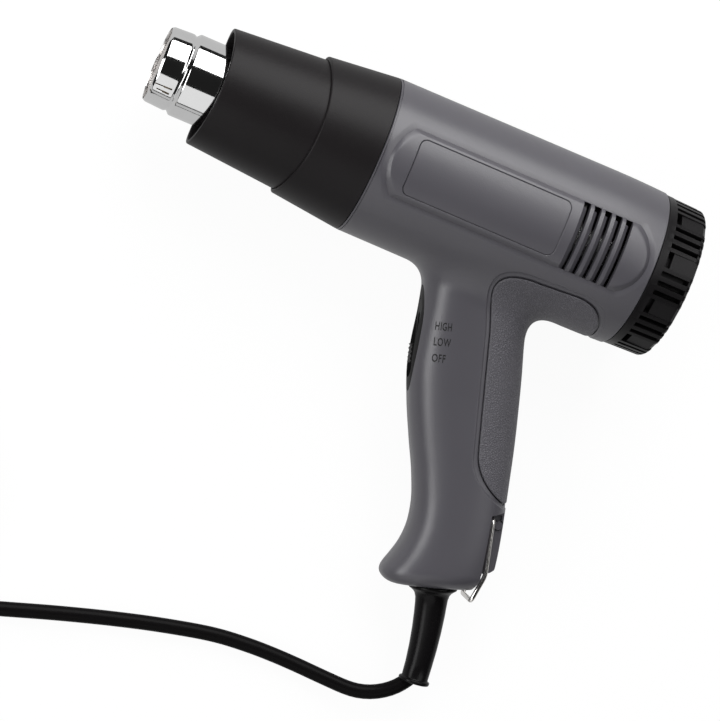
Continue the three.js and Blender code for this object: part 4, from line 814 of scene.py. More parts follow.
def through(points, step):
    """Points at even steps on the smooth curve through the given ones."""
    given = [np.array(point, float) for point in points]
    given = [2 * given[0] - given[1], *given, 2 * given[-1] - given[-2]]
    line = []
    for a, b, c, d in zip(given, given[1:], given[2:], given[3:]):
        gaps = [math.sqrt(np.linalg.norm(q - p)) for p, q in ((a, b), (b, c), (c, d))]
        leave = ((b - a) / gaps[0] - (c - a) / (gaps[0] + gaps[1]) + (c - b) / gaps[1]) * gaps[1]
        arrive = ((c - b) / gaps[1] - (d - b) / (gaps[1] + gaps[2]) + (d - c) / gaps[2]) * gaps[1]
        count = max(2, round(np.linalg.norm(c - b) / step))
        line += [hermite(u, b, leave, c, arrive) for u in np.arange(count) / count]
    return [*line, given[-2]]


def coil_heading(turns):
    angle = COIL_START - 2 * math.pi * turns
    return np.array((math.sin(angle), -math.cos(angle), 0))


def coil_line():
    total = COIL_WHOLE_TURNS + (COIL_START + 2 * math.pi - COIL_END) / (2 * math.pi)
    count = round(total * COIL_STEPS)
    line = []
    for i in range(count + 1):
        turns = total * i / count
        angle = COIL_START - 2 * math.pi * turns
        radius = COIL_OUTER_R - COIL_PITCH * min(turns, total - turns)
        climb = min(max(2 * (turns - total / 2) + 0.5, 0), 1)
        x = COIL_CENTRE[0] + radius * math.cos(angle)
        y = COIL_CENTRE[1] + radius * math.sin(angle)
        line.append(np.array((x, y, COIL_LOW_Z + COIL_LAYER * (0.5 - 0.5 * math.cos(math.pi * climb)))))
    run = 2 * CORD_R
    return [line[0] - run * coil_heading(0), *line, line[-1] + run * coil_heading(total)], coil_heading(total)


def tail_line(start, heading):
    way = np.array((math.cos(PLUG_HEADING), math.sin(PLUG_HEADING), 0))
    end = np.array((*PLUG_PLACE, PLUG_HALF_THICKNESS))
    reach = np.linalg.norm(end - start) / 3
    knots = [start, start + reach * heading, end - reach * way, end]
    line = []
    for u in np.linspace(0, 1, 24)[1:]:
        weights = ((1 - u) ** 3, 3 * u * (1 - u) ** 2, 3 * u * u * (1 - u), u**3)
        line.append(sum(weight * knot for weight, knot in zip(weights, knots)))
    return line


def lead_line():
    coil, heading = coil_line()
    lead = through([*LEAD_POINTS, coil[0]], CORD_STEP)
    return np.array([*lead, *coil[1:], *tail_line(coil[-1], heading)])


def add_along_map(made, line, sides):
    """UV map with the share round the tube and the distance along it."""
    steps = np.linalg.norm(np.diff(line, axis=0), axis=1)
    along = np.concatenate(([0], np.cumsum(steps))) / 100
    uv = made.data.uv_layers.new(name="along").data
    for polygon in made.data.polygons:
        columns = [made.data.loops[i].vertex_index % sides for i in polygon.loop_indices]
        wrapped = max(columns) == sides - 1 and min(columns) == 0 and len(columns) == 4
        for i, column in zip(polygon.loop_indices, columns):
            row = made.data.loops[i].vertex_index // sides
            turn = 1.0 if wrapped and column == 0 else column / sides
            uv[i].uv = (turn, along[row])


def add_lead():
    line = lead_line()
    lead = tube(line, CORD_R, CORD_SIDES)
    add_along_map(lead, line, CORD_SIDES)
    done(lead, "mains_lead", JACKET, ("cord_lead", "cord_coil", "cord_tail"), place=FLOOR)
    return lead, line


def superellipse(half_width, half_height, squareness, sides):
    power = 2 / squareness
    ring = []
    for a in angles(sides):
        x, y = signed_power(math.cos(a), power), signed_power(math.sin(a), power)
        ring.append((half_width * x, half_height * y))
    return ring


def plug_rings():
    rings = []
    for along, half_width, half_height in PLUG_SECTIONS:
        squareness = 2 + (PLUG_SQUARENESS - 2) * min(along / PLUG_NECK, 1)
        rings.append([(along, y, z) for y, z in superellipse(half_width, half_height, squareness, 48)])
    return rings


def add_plug():
    plug = loft(plug_rings())
    for sign in (-1, 1):
        middle = sign * BLADE_SPACING / 2
        low = (PLUG_LENGTH - BLADE_ROOT, middle - BLADE_STOCK / 2 - SEAT_GAP, -BLADE_HEIGHT / 2 - SEAT_GAP)
        high = (PLUG_LENGTH + 1, middle + BLADE_STOCK / 2 + SEAT_GAP, BLADE_HEIGHT / 2 + SEAT_GAP)
        cut(plug, block(low, high))
    for along in PLUG_GROOVES:
        end = along + PLUG_GROOVE_WIDTH
        for sign in (-1, 1):
            low = sign * PLUG_HALF_WIDTH - PLUG_GROOVE_INNER
            high = sign * PLUG_HALF_WIDTH + PLUG_GROOVE_OUTER
            groove = eased([(along, low), (end, low), (end, high), (along, high)], 0.3)
            cut(plug, prism(groove, -PLUG_GROOVE_HALF, PLUG_GROOVE_HALF))
    return done(plug, "mains_plug", RUBBER, ("plug_body",), place=PLUG)


def add_blades():
    blades = []
    root, tip = PLUG_LENGTH - BLADE_ROOT, PLUG_LENGTH + BLADE_LENGTH
    tall = BLADE_HEIGHT / 2
    run, fall = BLADE_TIP
    side = [
        (root, -tall), (tip - run, -tall), (tip, -tall + fall), (tip, tall - fall), (tip - run, tall),
        (root, tall),
    ]
    for i, sign in enumerate((1, -1)):
        middle = sign * BLADE_SPACING / 2
        upright = Matrix.Translation((0, middle, 0)) @ Matrix.Rotation(math.pi / 2, 4, "X")
        blade = prism(eased(side, 0.8), -BLADE_STOCK / 2, BLADE_STOCK / 2, upright)
        hole = tip - BLADE_HOLE_PLACE
        cut(blade, rod(BLADE_HOLE_R, (hole, middle - 5, 0), (hole, middle + 5, 0), 24))
        node = f"plug_blade_{i + 1}"
        blades.append(done(blade, f"brass_blade_{i + 1}", BRASS, (node,), place=PLUG))
    return blades


def add_tie():
    """Hook-and-loop strap round the bundle, with its end lapped on top."""
    (x0, y0, z0), (x1, y1, z1) = TIE_BOX
    turned = Matrix(((0, 0, 1, 0), (1, 0, 0, 0), (0, 1, 0, 0), (0, 0, 0, 1)))

    def section(inset):
        left, right, low, high = y0 + inset, y1 - inset, z0 + inset, z1 - inset
        return eased([(left, low), (right, low), (right, high), (left, high)], TIE_CORNER - inset)

    tie = prism(section(0), x0, x1, turned)
    cut(tie, prism(section(TIE_THICKNESS), x0 - 1, x1 + 1, turned))
    start, end, top = y0 + TIE_LAP_START, y1 - TIE_LAP_END, z1 + 1
    low = z1 - TIE_LAP_LINE_DEPTH
    cut(tie, block((x0 - 1, start, low), (x1 + 1, start + TIE_LAP_LINE, top)))
    low = z1 - TIE_LAP_EDGE_DEPTH
    cut(tie, block((x0 - 1, start, low), (x0 + TIE_LAP_EDGE, end, top)))
    cut(tie, block((x1 - TIE_LAP_EDGE, start, low), (x1 + 1, end, top)))
    return done(tie, "coil_strap", RUBBER, ("coil_tie",), place=FLOOR)


def boot_centre(along):
    share = max(along - BOOT_BEND_START, 0) / (BOOT_END - BOOT_BEND_START)
    lean = math.atan(2 * BOOT_DRIFT * share / (BOOT_END - BOOT_BEND_START))
    return along, BOOT_BACK - BOOT_DRIFT * share**2, lean


def add_boot():
    rings = []
    for along, radius in BOOT_OUTLINE:
        x, y, lean = boot_centre(along)
        ring = []
        for a in angles(BOOT_SIDES):
            across, height = radius * math.cos(a), radius * math.sin(a)
            ring.append((x + across * math.sin(lean), y + across * math.cos(lean), height))
        rings.append(ring)
    done(loft(rings, HANDLE), "lead_boot", RUBBER, ("strain_relief",), sharp=50)


lead, lead_path = add_lead()
lead_pieces = [add_plug(), *add_blades(), add_tie()]
add_boot()
lead_path[0] * MM
lead_path * MM


# Housing: barrel and handle as one field, negative inside, blended where they meet

def smooth_line(rows):
    """A smooth function through a table of (place, value)."""
    places, values = np.array(rows, float).T
    slopes = np.gradient(values, places)

    def value_at(where):
        where = np.clip(where, places[0], places[-1])
        i = np.clip(np.searchsorted(places, where) - 1, 0, len(places) - 2)
        span = places[i + 1] - places[i]
        u = (where - places[i]) / span
        return hermite(u, values[i], slopes[i] * span, values[i + 1], slopes[i + 1] * span)

    return value_at


front_at = smooth_line(FRONT_LINE)
back_at = smooth_line(BACK_LINE)
half_at = smooth_line(HALF_LINE)


def handle_field(x, y, z):
    sine, cosine = math.sin(HANDLE_LEAN), math.cos(HANDLE_LEAN)
    along = (x - HANDLE_X) * sine - (y - HANDLE_Y) * cosine
    back = (x - HANDLE_X) * cosine + (y - HANDLE_Y) * sine
    front_edge, back_edge, half = front_at(along), back_at(along), half_at(along)
    reach = (back_edge - front_edge) / 2
    u = np.abs(back - (back_edge + front_edge) / 2) / reach
    v = np.abs(z) / half
    power = HANDLE_SQUARENESS
    size = np.maximum((u**power + v**power) ** (1 / power), 0.2)
    slope = np.hypot((u / size) ** (power - 1) / reach, (v / size) ** (power - 1) / half)
    side = (size - 1) / np.maximum(slope, 0.02)
    end = along - HANDLE_END
    over_side = np.maximum(side + HANDLE_END_ROUND, 0)
    over_end = np.maximum(end + HANDLE_END_ROUND, 0)
    rounded = np.minimum(np.maximum(side, end), -HANDLE_END_ROUND) + np.hypot(over_side, over_end)
    return np.maximum(rounded, y - HANDLE_TOP_Y)


def body_field(points):
    x, y, z = points.T
    barrel = np.hypot(y, z) - body_radius(x)
    handle = handle_field(x, y, z)
    blend = np.interp(x, ROOT_BLEND_PLACES, ROOT_BLENDS)
    overlap = np.maximum(blend - np.abs(barrel - handle), 0) / blend
    return np.minimum(barrel, handle) - overlap**2 * blend / 4


def body_slope(points):
    step = 0.05
    slope = np.empty_like(points)
    for axis in range(3):
        shift = np.zeros(3)
        shift[axis] = step
        slope[:, axis] = (body_field(points + shift) - body_field(points - shift)) / (2 * step)
    return slope


def settled(points, level, rounds):
    """Points moved along the field's slope until they lie on the level."""
    for _ in range(rounds):
        slope = body_slope(points)
        gap = (body_field(points) - level) / np.maximum((slope**2).sum(1), 0.3)
        points = points - slope * np.clip(gap, -2, 2)[:, None]
    return points


def rough_body():
    """Barrel and handle, joined but not yet blended; the barrel runs past its two ends."""
    front, rear = -ROUGH_OVERRUN, BODY_LENGTH + ROUGH_OVERRUN
    barrel = lathe([(front, 0), (front, body_radius(front)), (rear, body_radius(rear)), (rear, 0)], 96)
    sections = [(s, front_at(s), back_at(s), half_at(s)) for s in ROUGH_PLACES] + ROUGH_END
    rings = []
    for along, front_edge, back_edge, half in sections:
        ring = superellipse((back_edge - front_edge) / 2, half, HANDLE_SQUARENESS, 64)
        middle = (back_edge + front_edge) / 2
        rings.append([on_handle(along, middle + t, z) for t, z in ring])
    return join(barrel, loft(rings))


ROUGH = rough_body()


def body_at(level, voxel, rounds=4):
    """The blended body as an even mesh, its skin moved in or out to the level."""
    made = copied(ROUGH)
    step = made.modifiers.new("even", "REMESH")
    step.mode = "VOXEL"
    step.voxel_size = voxel
    bake(made)
    count = len(made.data.vertices)
    points = np.empty(count * 3)
    made.data.vertices.foreach_get("co", points)
    points = points.reshape(-1, 3)
    edges = np.empty(len(made.data.edges) * 2, int)
    made.data.edges.foreach_get("vertices", edges)
    a, b = edges.reshape(-1, 2).T
    degree = np.bincount(np.concatenate((a, b)), minlength=count)[:, None]
    free = (points[:, 0] > -FREE_OVERRUN) & (points[:, 0] < BODY_LENGTH + FREE_OVERRUN)
    points[free] = settled(points[free], level, 6)
    for _ in range(rounds):
        mean = np.zeros_like(points)
        np.add.at(mean, a, points[b])
        np.add.at(mean, b, points[a])
        eased_points = 0.5 * points + 0.5 * mean / degree
        points[free] = settled(eased_points[free], level, 2)
    made.data.vertices.foreach_set("co", points.ravel())
    made.data.update()
    return made


def flank(x, y, rise, side):
    """A point of the barrel's flank, raised by so much."""
    return x, y, side * math.sqrt((body_radius(x) + rise) ** 2 - y * y)


def pad_grid(inset, rise, side, columns=96, rows=30):
    top, bottom = PAD_TOP_Y - inset, PAD_BOTTOM_Y + inset
    half, middle = (top - bottom) / 2, (top + bottom) / 2
    front_r = (half**2 + PAD_FRONT_ARC**2) / (2 * PAD_FRONT_ARC)
    rear_r = (half**2 + PAD_REAR_ARC**2) / (2 * PAD_REAR_ARC)
    grid = []
    for j in range(rows + 1):
        y = bottom + (top - bottom) * j / rows
        front = PAD_FRONT_X + inset + front_r - math.sqrt(front_r**2 - (y - middle) ** 2)
        rear = PAD_REAR_X - inset - rear_r + math.sqrt(rear_r**2 - (y - middle) ** 2)
        grid.append([flank(front + (rear - front) * i / columns, y, rise, side) for i in range(columns + 1)])
    return grid


def grid_border(grid):
    right = [row[-1] for row in grid[1:-1]]
    left = [row[0] for row in grid[1:-1]]
    return [*grid[0], *right, *reversed(grid[-1]), *reversed(left)]


def pad(side):
    """The raised pad: two curved faces and a sloped, softened edge between them."""
    grids = [pad_grid(inset, rise, side) for inset, rise in PAD_STEPS]
    vertices, faces = [], []
    for grid in (grids[0], grids[-1]):
        base, width = len(vertices), len(grid[0])
        vertices += [point for row in grid for point in row]
        for j in range(len(grid) - 1):
            for i in range(width - 1):
                k = base + j * width + i
                faces.append((k, k + 1, k + width + 1, k + width))
    for grid, following in zip(grids, grids[1:]):
        near, far = grid_border(grid), grid_border(following)
        base, count = len(vertices), len(near)
        vertices += near + far
        faces += ring_faces(base, base + count, count)
    return draft(vertices, faces)


def pad_dip(side):
    """The shallow dip of the flank round the pad's foot."""
    return loft([grid_border(pad_grid(inset, rise, side)) for inset, rise in PAD_DIP], closed=True)


def label_groove(side):
    """The line round the bare label place, in as many points for each offset."""
    left, right = LABEL_FRONT_X + LABEL_CORNER_R, LABEL_REAR_X - LABEL_CORNER_R
    low = PAD_BOTTOM_Y + LABEL_MARGIN + LABEL_CORNER_R
    high = PAD_TOP_Y - LABEL_MARGIN - LABEL_CORNER_R
    corners = ((right, low), (right, high), (left, high), (left, low))
    steps = LABEL_CORNER_STEPS
    rings = []
    for grow, rise in ((0, -LABEL_DEPTH), (LABEL_LINE, 0), (LABEL_LINE, 1), (0, 1)):
        r = LABEL_CORNER_R + grow
        ring = []
        for k, (x, y) in enumerate(corners):
            turns = [(k - 1 + i / steps) * math.pi / 2 for i in range(steps + 1)]
            arc = [(x + r * math.cos(a), y + r * math.sin(a)) for a in turns]
            next_x, next_y = corners[(k + 1) % 4]
            run_x, run_y = next_x - x, next_y - y
            count = LABEL_LONG_STEPS if run_x else LABEL_SHORT_STEPS
            end_x, end_y = arc[-1]
            run = [(end_x + run_x * i / count, end_y + run_y * i / count) for i in range(1, count)]
            ring += [*arc, *run]
        rings.append([flank(x, y, PAD_RISE + rise, side) for x, y in ring])
    return loft(rings, closed=True)


def vent_row(net, slot, count, pitch):
    """Cutters for the side vents."""
    step = net.add("ShaderNodeCombineXYZ", None, {0: pitch})
    line = net.add("GeometryNodeMeshLine", None, {"Count": count, "Offset": step})
    return net.add("GeometryNodeInstanceOnPoints", None, {"Points": line, "Instance": slot})


def vent_slot(side):
    """The first vent: its front wall slopes inwards as a louvre, but for the open upper end."""
    front = VENT_FIRST_X - VENT_WIDTH / 2
    top, bottom = PAD_TOP_Y + VENT_OVERRUN, PAD_BOTTOM_Y - VENT_OVERRUN
    louvre_end = top - VENT_OPEN_END
    stations = [(y, 1) for y in np.linspace(bottom, louvre_end, 15)] + [(louvre_end + 0.02, 0), (top, 0)]
    rings = []
    for y, slope in stations:
        ring = []
        for x, depth in VENT_LOUVRE:
            in_louvre = depth < 0 and x < VENT_WIDTH
            ring.append(flank(front + (x * slope if in_louvre else x), y, PAD_RISE + depth, side))
        rings.append(ring)
    return loft(rings)


def vents():
    slots = join(vent_slot(1), vent_slot(-1))
    points = [tuple(vertex.co) for vertex in slots.data.vertices]
    faces = [tuple(polygon.vertices) for polygon in slots.data.polygons]
    bpy.data.objects.remove(slots)
    sizes = {"count": VENT_COUNT, "pitch": VENT_PITCH}
    return grown("vent_cutters", sizes, vent_row, HOUSING, points, faces)


def grip_outline(inset):
    """Border of the grip: up the handle, round under the barrel's flank and out behind the handle."""
    def flat(along, back):
        point = on_handle(along, back)
        return point.x, point.y

    edge = GRIP_EDGE + inset
    end = GRIP_END - inset
    top = GRIP_TOP_Y - inset
    corner = GRIP_CORNER_Y - inset
    front = GRIP_FRONT_X + inset
    rear = GRIP_REAR_X - inset
    low = -body_radius(GRIP_REAR_X)
    foot = flat(end - 1, GRIP_FOOT_BACK), flat(end - GRIP_FOOT_KNEE, edge), flat(end - GRIP_FOOT, edge)
    neck = (front, GRIP_NECK_Y), (front - GRIP_NECK_SWING, corner), (front + GRIP_CORNER, corner)
    tail = (rear - GRIP_REAR_RUN, top), (rear - GRIP_REAR_KNEE, top), (rear, low + GRIP_REAR_DROP)
    return [
        flat(end, GRIP_BEYOND),
        *bezier(*foot, 16),
        flat(GRIP_NECK, GRIP_NECK_BACK + inset),
        *bezier(*neck, 14),
        *bezier(*tail, 14),
        (rear, low - GRIP_REAR_KNEE),
    ]


def grip_prism(inset):
    return prism(grip_outline(inset), -HALF_SPAN, HALF_SPAN)


def skin_between(inner, outer):
    """Where lines from points inside the body to points outside it pass its skin."""
    low, high = np.zeros(len(inner)), np.ones(len(inner))
    for _ in range(40):
        share = (low + high) / 2
        inside = body_field(inner + (outer - inner) * share[:, None]) < 0
        low = np.where(inside, share, low)
        high = np.where(inside, high, share)
    return inner + (outer - inner) * low[:, None]


def grip_border(inset, ends=10, step=2.0):
    """The grip's border on the left flank, from the seam at the handle's back round to the seam again."""
    plain = np.array(grip_outline(0))[1:-1]
    counts = np.maximum(np.linalg.norm(np.diff(plain, axis=0), axis=1) // step, 1).astype(int)
    outline = np.array(grip_outline(inset))
    line = [outline[1]]
    for start, end, count in zip(outline[1:-2], outline[2:-1], counts):
        line += [start + (end - start) * (i + 1) / count for i in range(count)]
    flat = np.array([(x, y, 0) for x, y in line])
    border = skin_between(flat, flat + (0, 0, HALF_SPAN))
    runs = []
    seams = (outline[1], outline[0], border[0]), (outline[-2], outline[-1], border[-1])
    for near, far, top in seams:
        heights = np.linspace(0, top[2], ends, endpoint=False)
        inner, outer = [np.array([(*point, z) for z in heights]) for point in (near, far)]
        runs.append(skin_between(inner, outer))
    return np.vstack((runs[0], border, runs[1][::-1]))


def border_ring(section):
    """A ring with the section (inset, height) along both grips' border."""
    strips = []
    for inset, height in section:
        points = grip_border(inset)
        slope = body_slope(points)
        strips.append(points + height * slope / np.linalg.norm(slope, axis=1)[:, None])
    left = np.stack(strips, axis=1)
    right = left[::-1][1:-1] * (1, 1, -1)
    return loft([*left, *right], closed=True)


def bail_rebates(wall):
    """Rebates at both sides of the handle's back and the notch below them, grown by a wall."""
    beyond, behind, side = HANDLE_END + REBATE_BEYOND, REBATE_FRONT + REBATE_BEHIND, REBATE_SIDE
    foot = REBATE_BEND_FRONT - REBATE_FOOT_SLOPE * (beyond - REBATE_BEND)

    def shape(top, front):
        return [
            (top - wall, front - wall), (REBATE_BEND, REBATE_BEND_FRONT - wall), (beyond, foot - wall),
            (beyond, behind), (top - wall - REBATE_TOP_SLOPE * (behind - front), behind),
        ]

    beside = shape(REBATE_TOP, REBATE_FRONT)
    made = prism(beside, TONGUE_HALF - wall, side, HANDLE)
    join(made, prism(beside, -side, wall - TONGUE_HALF, HANDLE))
    toe = bezier(*[(TONGUE_END - wall + along, back) for along, back in TONGUE_TOE], 8)
    return join(made, prism([*toe, *shape(TONGUE_END, REBATE_BEND_FRONT)], -side, side, HANDLE))


def barrel_trim():
    """Rings that chamfer the barrel's two edges and cut the groove behind its front lip."""
    profiles = []
    for edge, way in ((BODY_FRONT_X, -1), (BODY_LENGTH, 1)):
        radius, reach = body_radius(edge), EDGE_CHAMFER + 1
        corner = (edge + way, radius + 1)
        profiles.append([(edge - way * reach, radius + 1), corner, (edge + way, radius - reach)])
    start = BODY_FRONT_X + LIP_WIDTH
    end, radius = start + LIP_GROOVE, body_radius(start)
    floor = radius - LIP_GROOVE
    profiles.append([(start, floor), (end, floor), (end, radius + 1), (start, radius + 1)])
    return [lathe(profile) for profile in profiles]


def into_front(outline, front, back):
    """An outline, along the handle and across it, pushed into the handle's front."""
    rings = [[(SWITCH_MIDDLE + along, depth, side) for along, side in outline] for depth in (front, back)]
    return loft(rings, HANDLE)


def oval(length, width):
    """An ellipse with slightly fuller ends."""
    turns = angles(72)
    return [(length / 2 * math.cos(a), signed_power(math.sin(a), INSERT_POWER) * width / 2) for a in turns]


def stadium(length, width):
    reach, r = (length - width) / 2, width / 2
    return [(r * math.cos(a) + math.copysign(reach, math.cos(a)), r * math.sin(a)) for a in angles(48)]


def words():
    """The switch positions, sunk into the left flank of the handle, reading across it."""
    cutters = None
    across = Matrix(((0, -1, 0, 0), (1, 0, 0, 0), (0, 0, 1, 0), (0, 0, 0, 1)))
    for word, along, narrowing in WORDS:
        text = bpy.data.curves.new(word.lower(), "FONT")
        text.body = word
        text.size = WORD_HEIGHT / CAPITAL_SHARE
        text.align_y = "CENTER"
        text.space_character = WORD_SPACING
        text.offset = WORD_WEIGHT
        text.extrude = WORD_CUTTER_HALF
        text.resolution_u = 4
        source = linked(text)
        made = linked(cleaned(bpy.data.meshes.new_from_object(source)))
        bpy.data.objects.remove(source)
        place = HANDLE @ Matrix.Translation((along, WORD_BACK, WORD_CUTTER_SIDE)) @ across
        made.data.transform(place @ Matrix.Diagonal((narrowing, 1, 1, 1)))
        cutters = made if cutters is None else join(cutters, made)
    return cutters


def screw_places():
    places = [(x, sign * (body_radius(x) - SCREW_INSET), BARREL_SEAT_Z) for x, sign in BARREL_SCREWS]
    for along, back in HANDLE_SCREWS:
        point = on_handle(along, back)
        places.append((point.x, point.y, HANDLE_SEAT_Z))
    return places


def cut_tongue(shell):
    """The tongue between the bail's rebates, with its boss, pockets and pivot hole."""
    cut(shell, bail_rebates(0))
    along, back, radius, height = TONGUE_BOSS
    for side in (-1, 1):
        floor = side * (TONGUE_HALF - BOSS_RING_DEPTH)
        cut(shell, rod(radius + BOSS_RING, (along, back, floor), (along, back, side * HALF_SPAN), 32, HANDLE))
        pocket = sorted((side * (TONGUE_HALF - PIVOT_POCKET_DEPTH), side * (BAIL_HALF_WIDTH + BAIL_WIRE_R)))
        cut(shell, prism(eased(PIVOT_POCKET, 0.6), *pocket, HANDLE))
    join(shell, rod(radius, (along, back, -height), (along, back, height), 32, HANDLE))
    pivot = (BAIL_PIVOT, BAIL_PIVOT_BACK, -20), (BAIL_PIVOT, BAIL_PIVOT_BACK, 20)
    cut(shell, rod(BAIL_WIRE_R + SEAT_GAP, *pivot, 24, HANDLE))


def add_halves(left, gap, piece, finish, node):
    """The left and the right half of a piece, each set back from the mid plane by a gap."""
    right = copied(left)
    keep(left, block((-REACH, -REACH, gap), (REACH, REACH, REACH)))
    keep(right, block((-REACH, -REACH, -REACH), (REACH, REACH, -gap)))
    done(left, f"left_{piece}", finish, (f"left_{node}",))
    done(right, f"right_{piece}", finish, (f"right_{node}",))


def add_housing():
    outer = body_at(0, OUTER_VOXEL)
    shell = copied(outer)
    keep(shell, block((BODY_FRONT_X, -REACH, -REACH), (BODY_LENGTH, REACH, REACH)))
    for ring in barrel_trim():
        cut(shell, ring)
    for side in (-1, 1):
        cut(shell, pad_dip(side))
        join(shell, pad(side))
        cut(shell, label_groove(side))
    cavity = body_at(-WALL, CAVITY_VOXEL)
    cut(shell, cut(cavity, bail_rebates(TONGUE_WALL)))
    places = screw_places()
    for x, y, seat in places:
        post = rod(SCREW_POST_R, (x, y, -HALF_SPAN), (x, y, -seat + 4), 32)
        join(shell, keep(post, copied(outer)))
        cut(shell, rod(SCREW_WELL_R, (x, y, -HALF_SPAN), (x, y, -seat), 32))
    cut(shell, vents())
    cut(shell, border_ring(GROOVE_SECTION))
    cut(shell, cut(grip_prism(GRIP_GROOVE - SEAT_GAP), body_at(-GRIP_POCKET, POCKET_VOXEL)))
    insert_hole = oval(INSERT_LENGTH + 2 * INSERT_GAP, INSERT_WIDTH + 2 * INSERT_GAP)
    cut(shell, into_front(insert_hole, -HALF_SPAN, 0))
    boot_hole = (HANDLE_END - 2 * WALL, BOOT_BACK, 0), (HANDLE_END + 5, BOOT_BACK, 0)
    cut(shell, rod(BOOT_HOLE_R, *boot_hole, 40, HANDLE))
    cut_tongue(shell)
    letters = cut(words(), body_at(-WORD_DEPTH, POCKET_VOXEL))
    # The lower part of each sunk letter becomes a separate near-black piece: painted shade inside the words
    done(keep(copied(letters), body_at(-WORD_SHADE_LEVEL, POCKET_VOXEL)), "word_shade_fill", WORD_SHADE)
    cut(shell, letters)
    add_halves(shell, SPLIT_GAP / 2, "shell", HOUSING, "housing")
    return outer, places


def add_grips(outer):
    grip = grip_prism(GRIP_GROOVE)
    keep(grip, copied(outer))
    cut(grip, border_ring(GRIP_EDGE_SECTION))
    cut(grip, body_at(-GRIP_THICKNESS, POCKET_VOXEL))
    add_halves(grip, SPLIT_GAP, "grip_pad", GRIP, "grip_inlay")


def add_switch(outer):
    insert = into_front(oval(INSERT_LENGTH, INSERT_WIDTH), -HALF_SPAN, INSERT_BACK)
    keep(insert, copied(outer))
    cut(insert, into_front(stadium(CHANNEL_LENGTH, CHANNEL_WIDTH), -HALF_SPAN, CHANNEL_FLOOR))
    cut(insert, into_front(stadium(*STEM_SLOT), -HALF_SPAN, INSERT_BACK + 1))
    done(insert, "switch_insert", SWITCH_BLACK, ("switch_bezel",))
    half = KNOB_LENGTH / 2
    rows = KNOB_RIBS * 2
    profile = [(-half, KNOB_BACK), (half, KNOB_BACK)]
    for i in range(rows + 1):
        along = half - KNOB_MARGIN - (KNOB_LENGTH - 2 * KNOB_MARGIN) * i / rows
        profile.append((along, KNOB_FRONT if i % 2 == 0 else KNOB_FRONT + KNOB_RIB_DEPTH))
    knob = prism([(SWITCH_OFF + s, t) for s, t in eased(profile, 0.3, 3)], -KNOB_WIDTH / 2, KNOB_WIDTH / 2)
    stem_length, stem_width = STEM_SIZE
    low = (SWITCH_OFF - stem_length / 2, KNOB_BACK - 0.5, -stem_width / 2)
    join(knob, block(low, (SWITCH_OFF + stem_length / 2, STEM_BACK, stem_width / 2)))
    done(knob, "switch_knob", SWITCH_BLACK, ("switch_slider",), "switch", TOOL @ HANDLE)


def screw(net, points, head_r, head, shank_r, length, slot):
    """A recessed pan head with its shank on each point, the head towards -Z."""
    cap = net.add("GeometryNodeMeshCylinder", None, {"Vertices": 32, "Radius": head_r, "Depth": head})
    bars = []
    for turn in (0, math.pi / 2):
        size = net.add("ShaderNodeCombineXYZ", None, {0: head_r * 1.3, 1: slot, 2: head * 0.9})
        bar = net.add("GeometryNodeMeshCube", None, {"Size": size})
        lift = net.add("ShaderNodeCombineXYZ", None, {2: head * -0.5})
        inputs = {"Geometry": bar, "Translation": lift, "Rotation": (0, 0, turn)}
        bars.append(net.add("GeometryNodeTransform", None, inputs))
    cross = net.add("GeometryNodeMeshBoolean", {"operation": "UNION"}, {1: bars})
    crossed = net.add("GeometryNodeMeshBoolean", {"operation": "DIFFERENCE"}, {0: cap, 1: cross})
    shank = net.add("GeometryNodeMeshCylinder", None, {"Vertices": 16, "Radius": shank_r, "Depth": length})
    lift = net.add("ShaderNodeCombineXYZ", None, {2: length * 0.5})
    sunk = net.add("GeometryNodeTransform", None, {"Geometry": shank, "Translation": lift})
    both = net.add("GeometryNodeMeshBoolean", {"operation": "UNION"}, {1: [crossed, sunk]})
    return net.add("GeometryNodeInstanceOnPoints", None, {"Points": points, "Instance": both})


def add_screws(places):
    points = [(x, y, -seat - SEAT_GAP - SCREW_HEAD / 2) for x, y, seat in places]
    sizes = {
        "head_r": SCREW_HEAD_R, "head": SCREW_HEAD, "shank_r": SCREW_R, "length": SCREW_LENGTH - 1.0,
        "slot": SCREW_SLOT,
    }
    made = grown("housing_screws", sizes, screw, STEEL, points)
    done(made, "shell_screws", STEEL, [f"housing_screw_{i + 1}" for i in range(len(places))])


outer, screws = add_housing()
add_grips(outer)
add_switch(outer)
add_screws(screws)
bpy.data.objects.remove(outer)
bpy.data.objects.remove(ROUGH)


# Collar, guard, nozzle and mouth screen

def guard_radius(x):
    return GUARD_FRONT_R + (x - GUARD_FRONT_X) * GUARD_TAPER


def add_collar():
    spigot_r = body_radius(0) - WALL - SEAT_GAP
    front, rim = COLLAR_FRONT_X, COLLAR_FRONT_R
    blank = lathe([
        (front, 0), *bezier((front, rim - COLLAR_ROUND), (front, rim), (front + COLLAR_ROUND, rim), 6),
        (COLLAR_REAR_X - 0.2, BODY_FRONT_R - 0.1), (COLLAR_REAR_X, BODY_FRONT_R - 0.3),
        (COLLAR_REAR_X, spigot_r), (COLLAR_SPIGOT, spigot_r), (COLLAR_SPIGOT, 0),
    ])
    seat, inner, beyond = GUARD_REAR_X + SEAT_GAP, spigot_r - COLLAR_WALL, COLLAR_SPIGOT + 1
    bore = lathe([
        (GUARD_FRONT_X, 0), (GUARD_FRONT_X, guard_radius(GUARD_FRONT_X) + SEAT_GAP),
        (seat, guard_radius(seat) + SEAT_GAP), (seat, inner), (beyond, inner), (beyond, 0),
    ])
    collar = cut(swept_back(blank, COLLAR_FRONT_X, COLLAR_REAR_X, COLLAR_SWEEP), bore)
    done(collar, "front_collar", GUARD, ("guard_collar",))


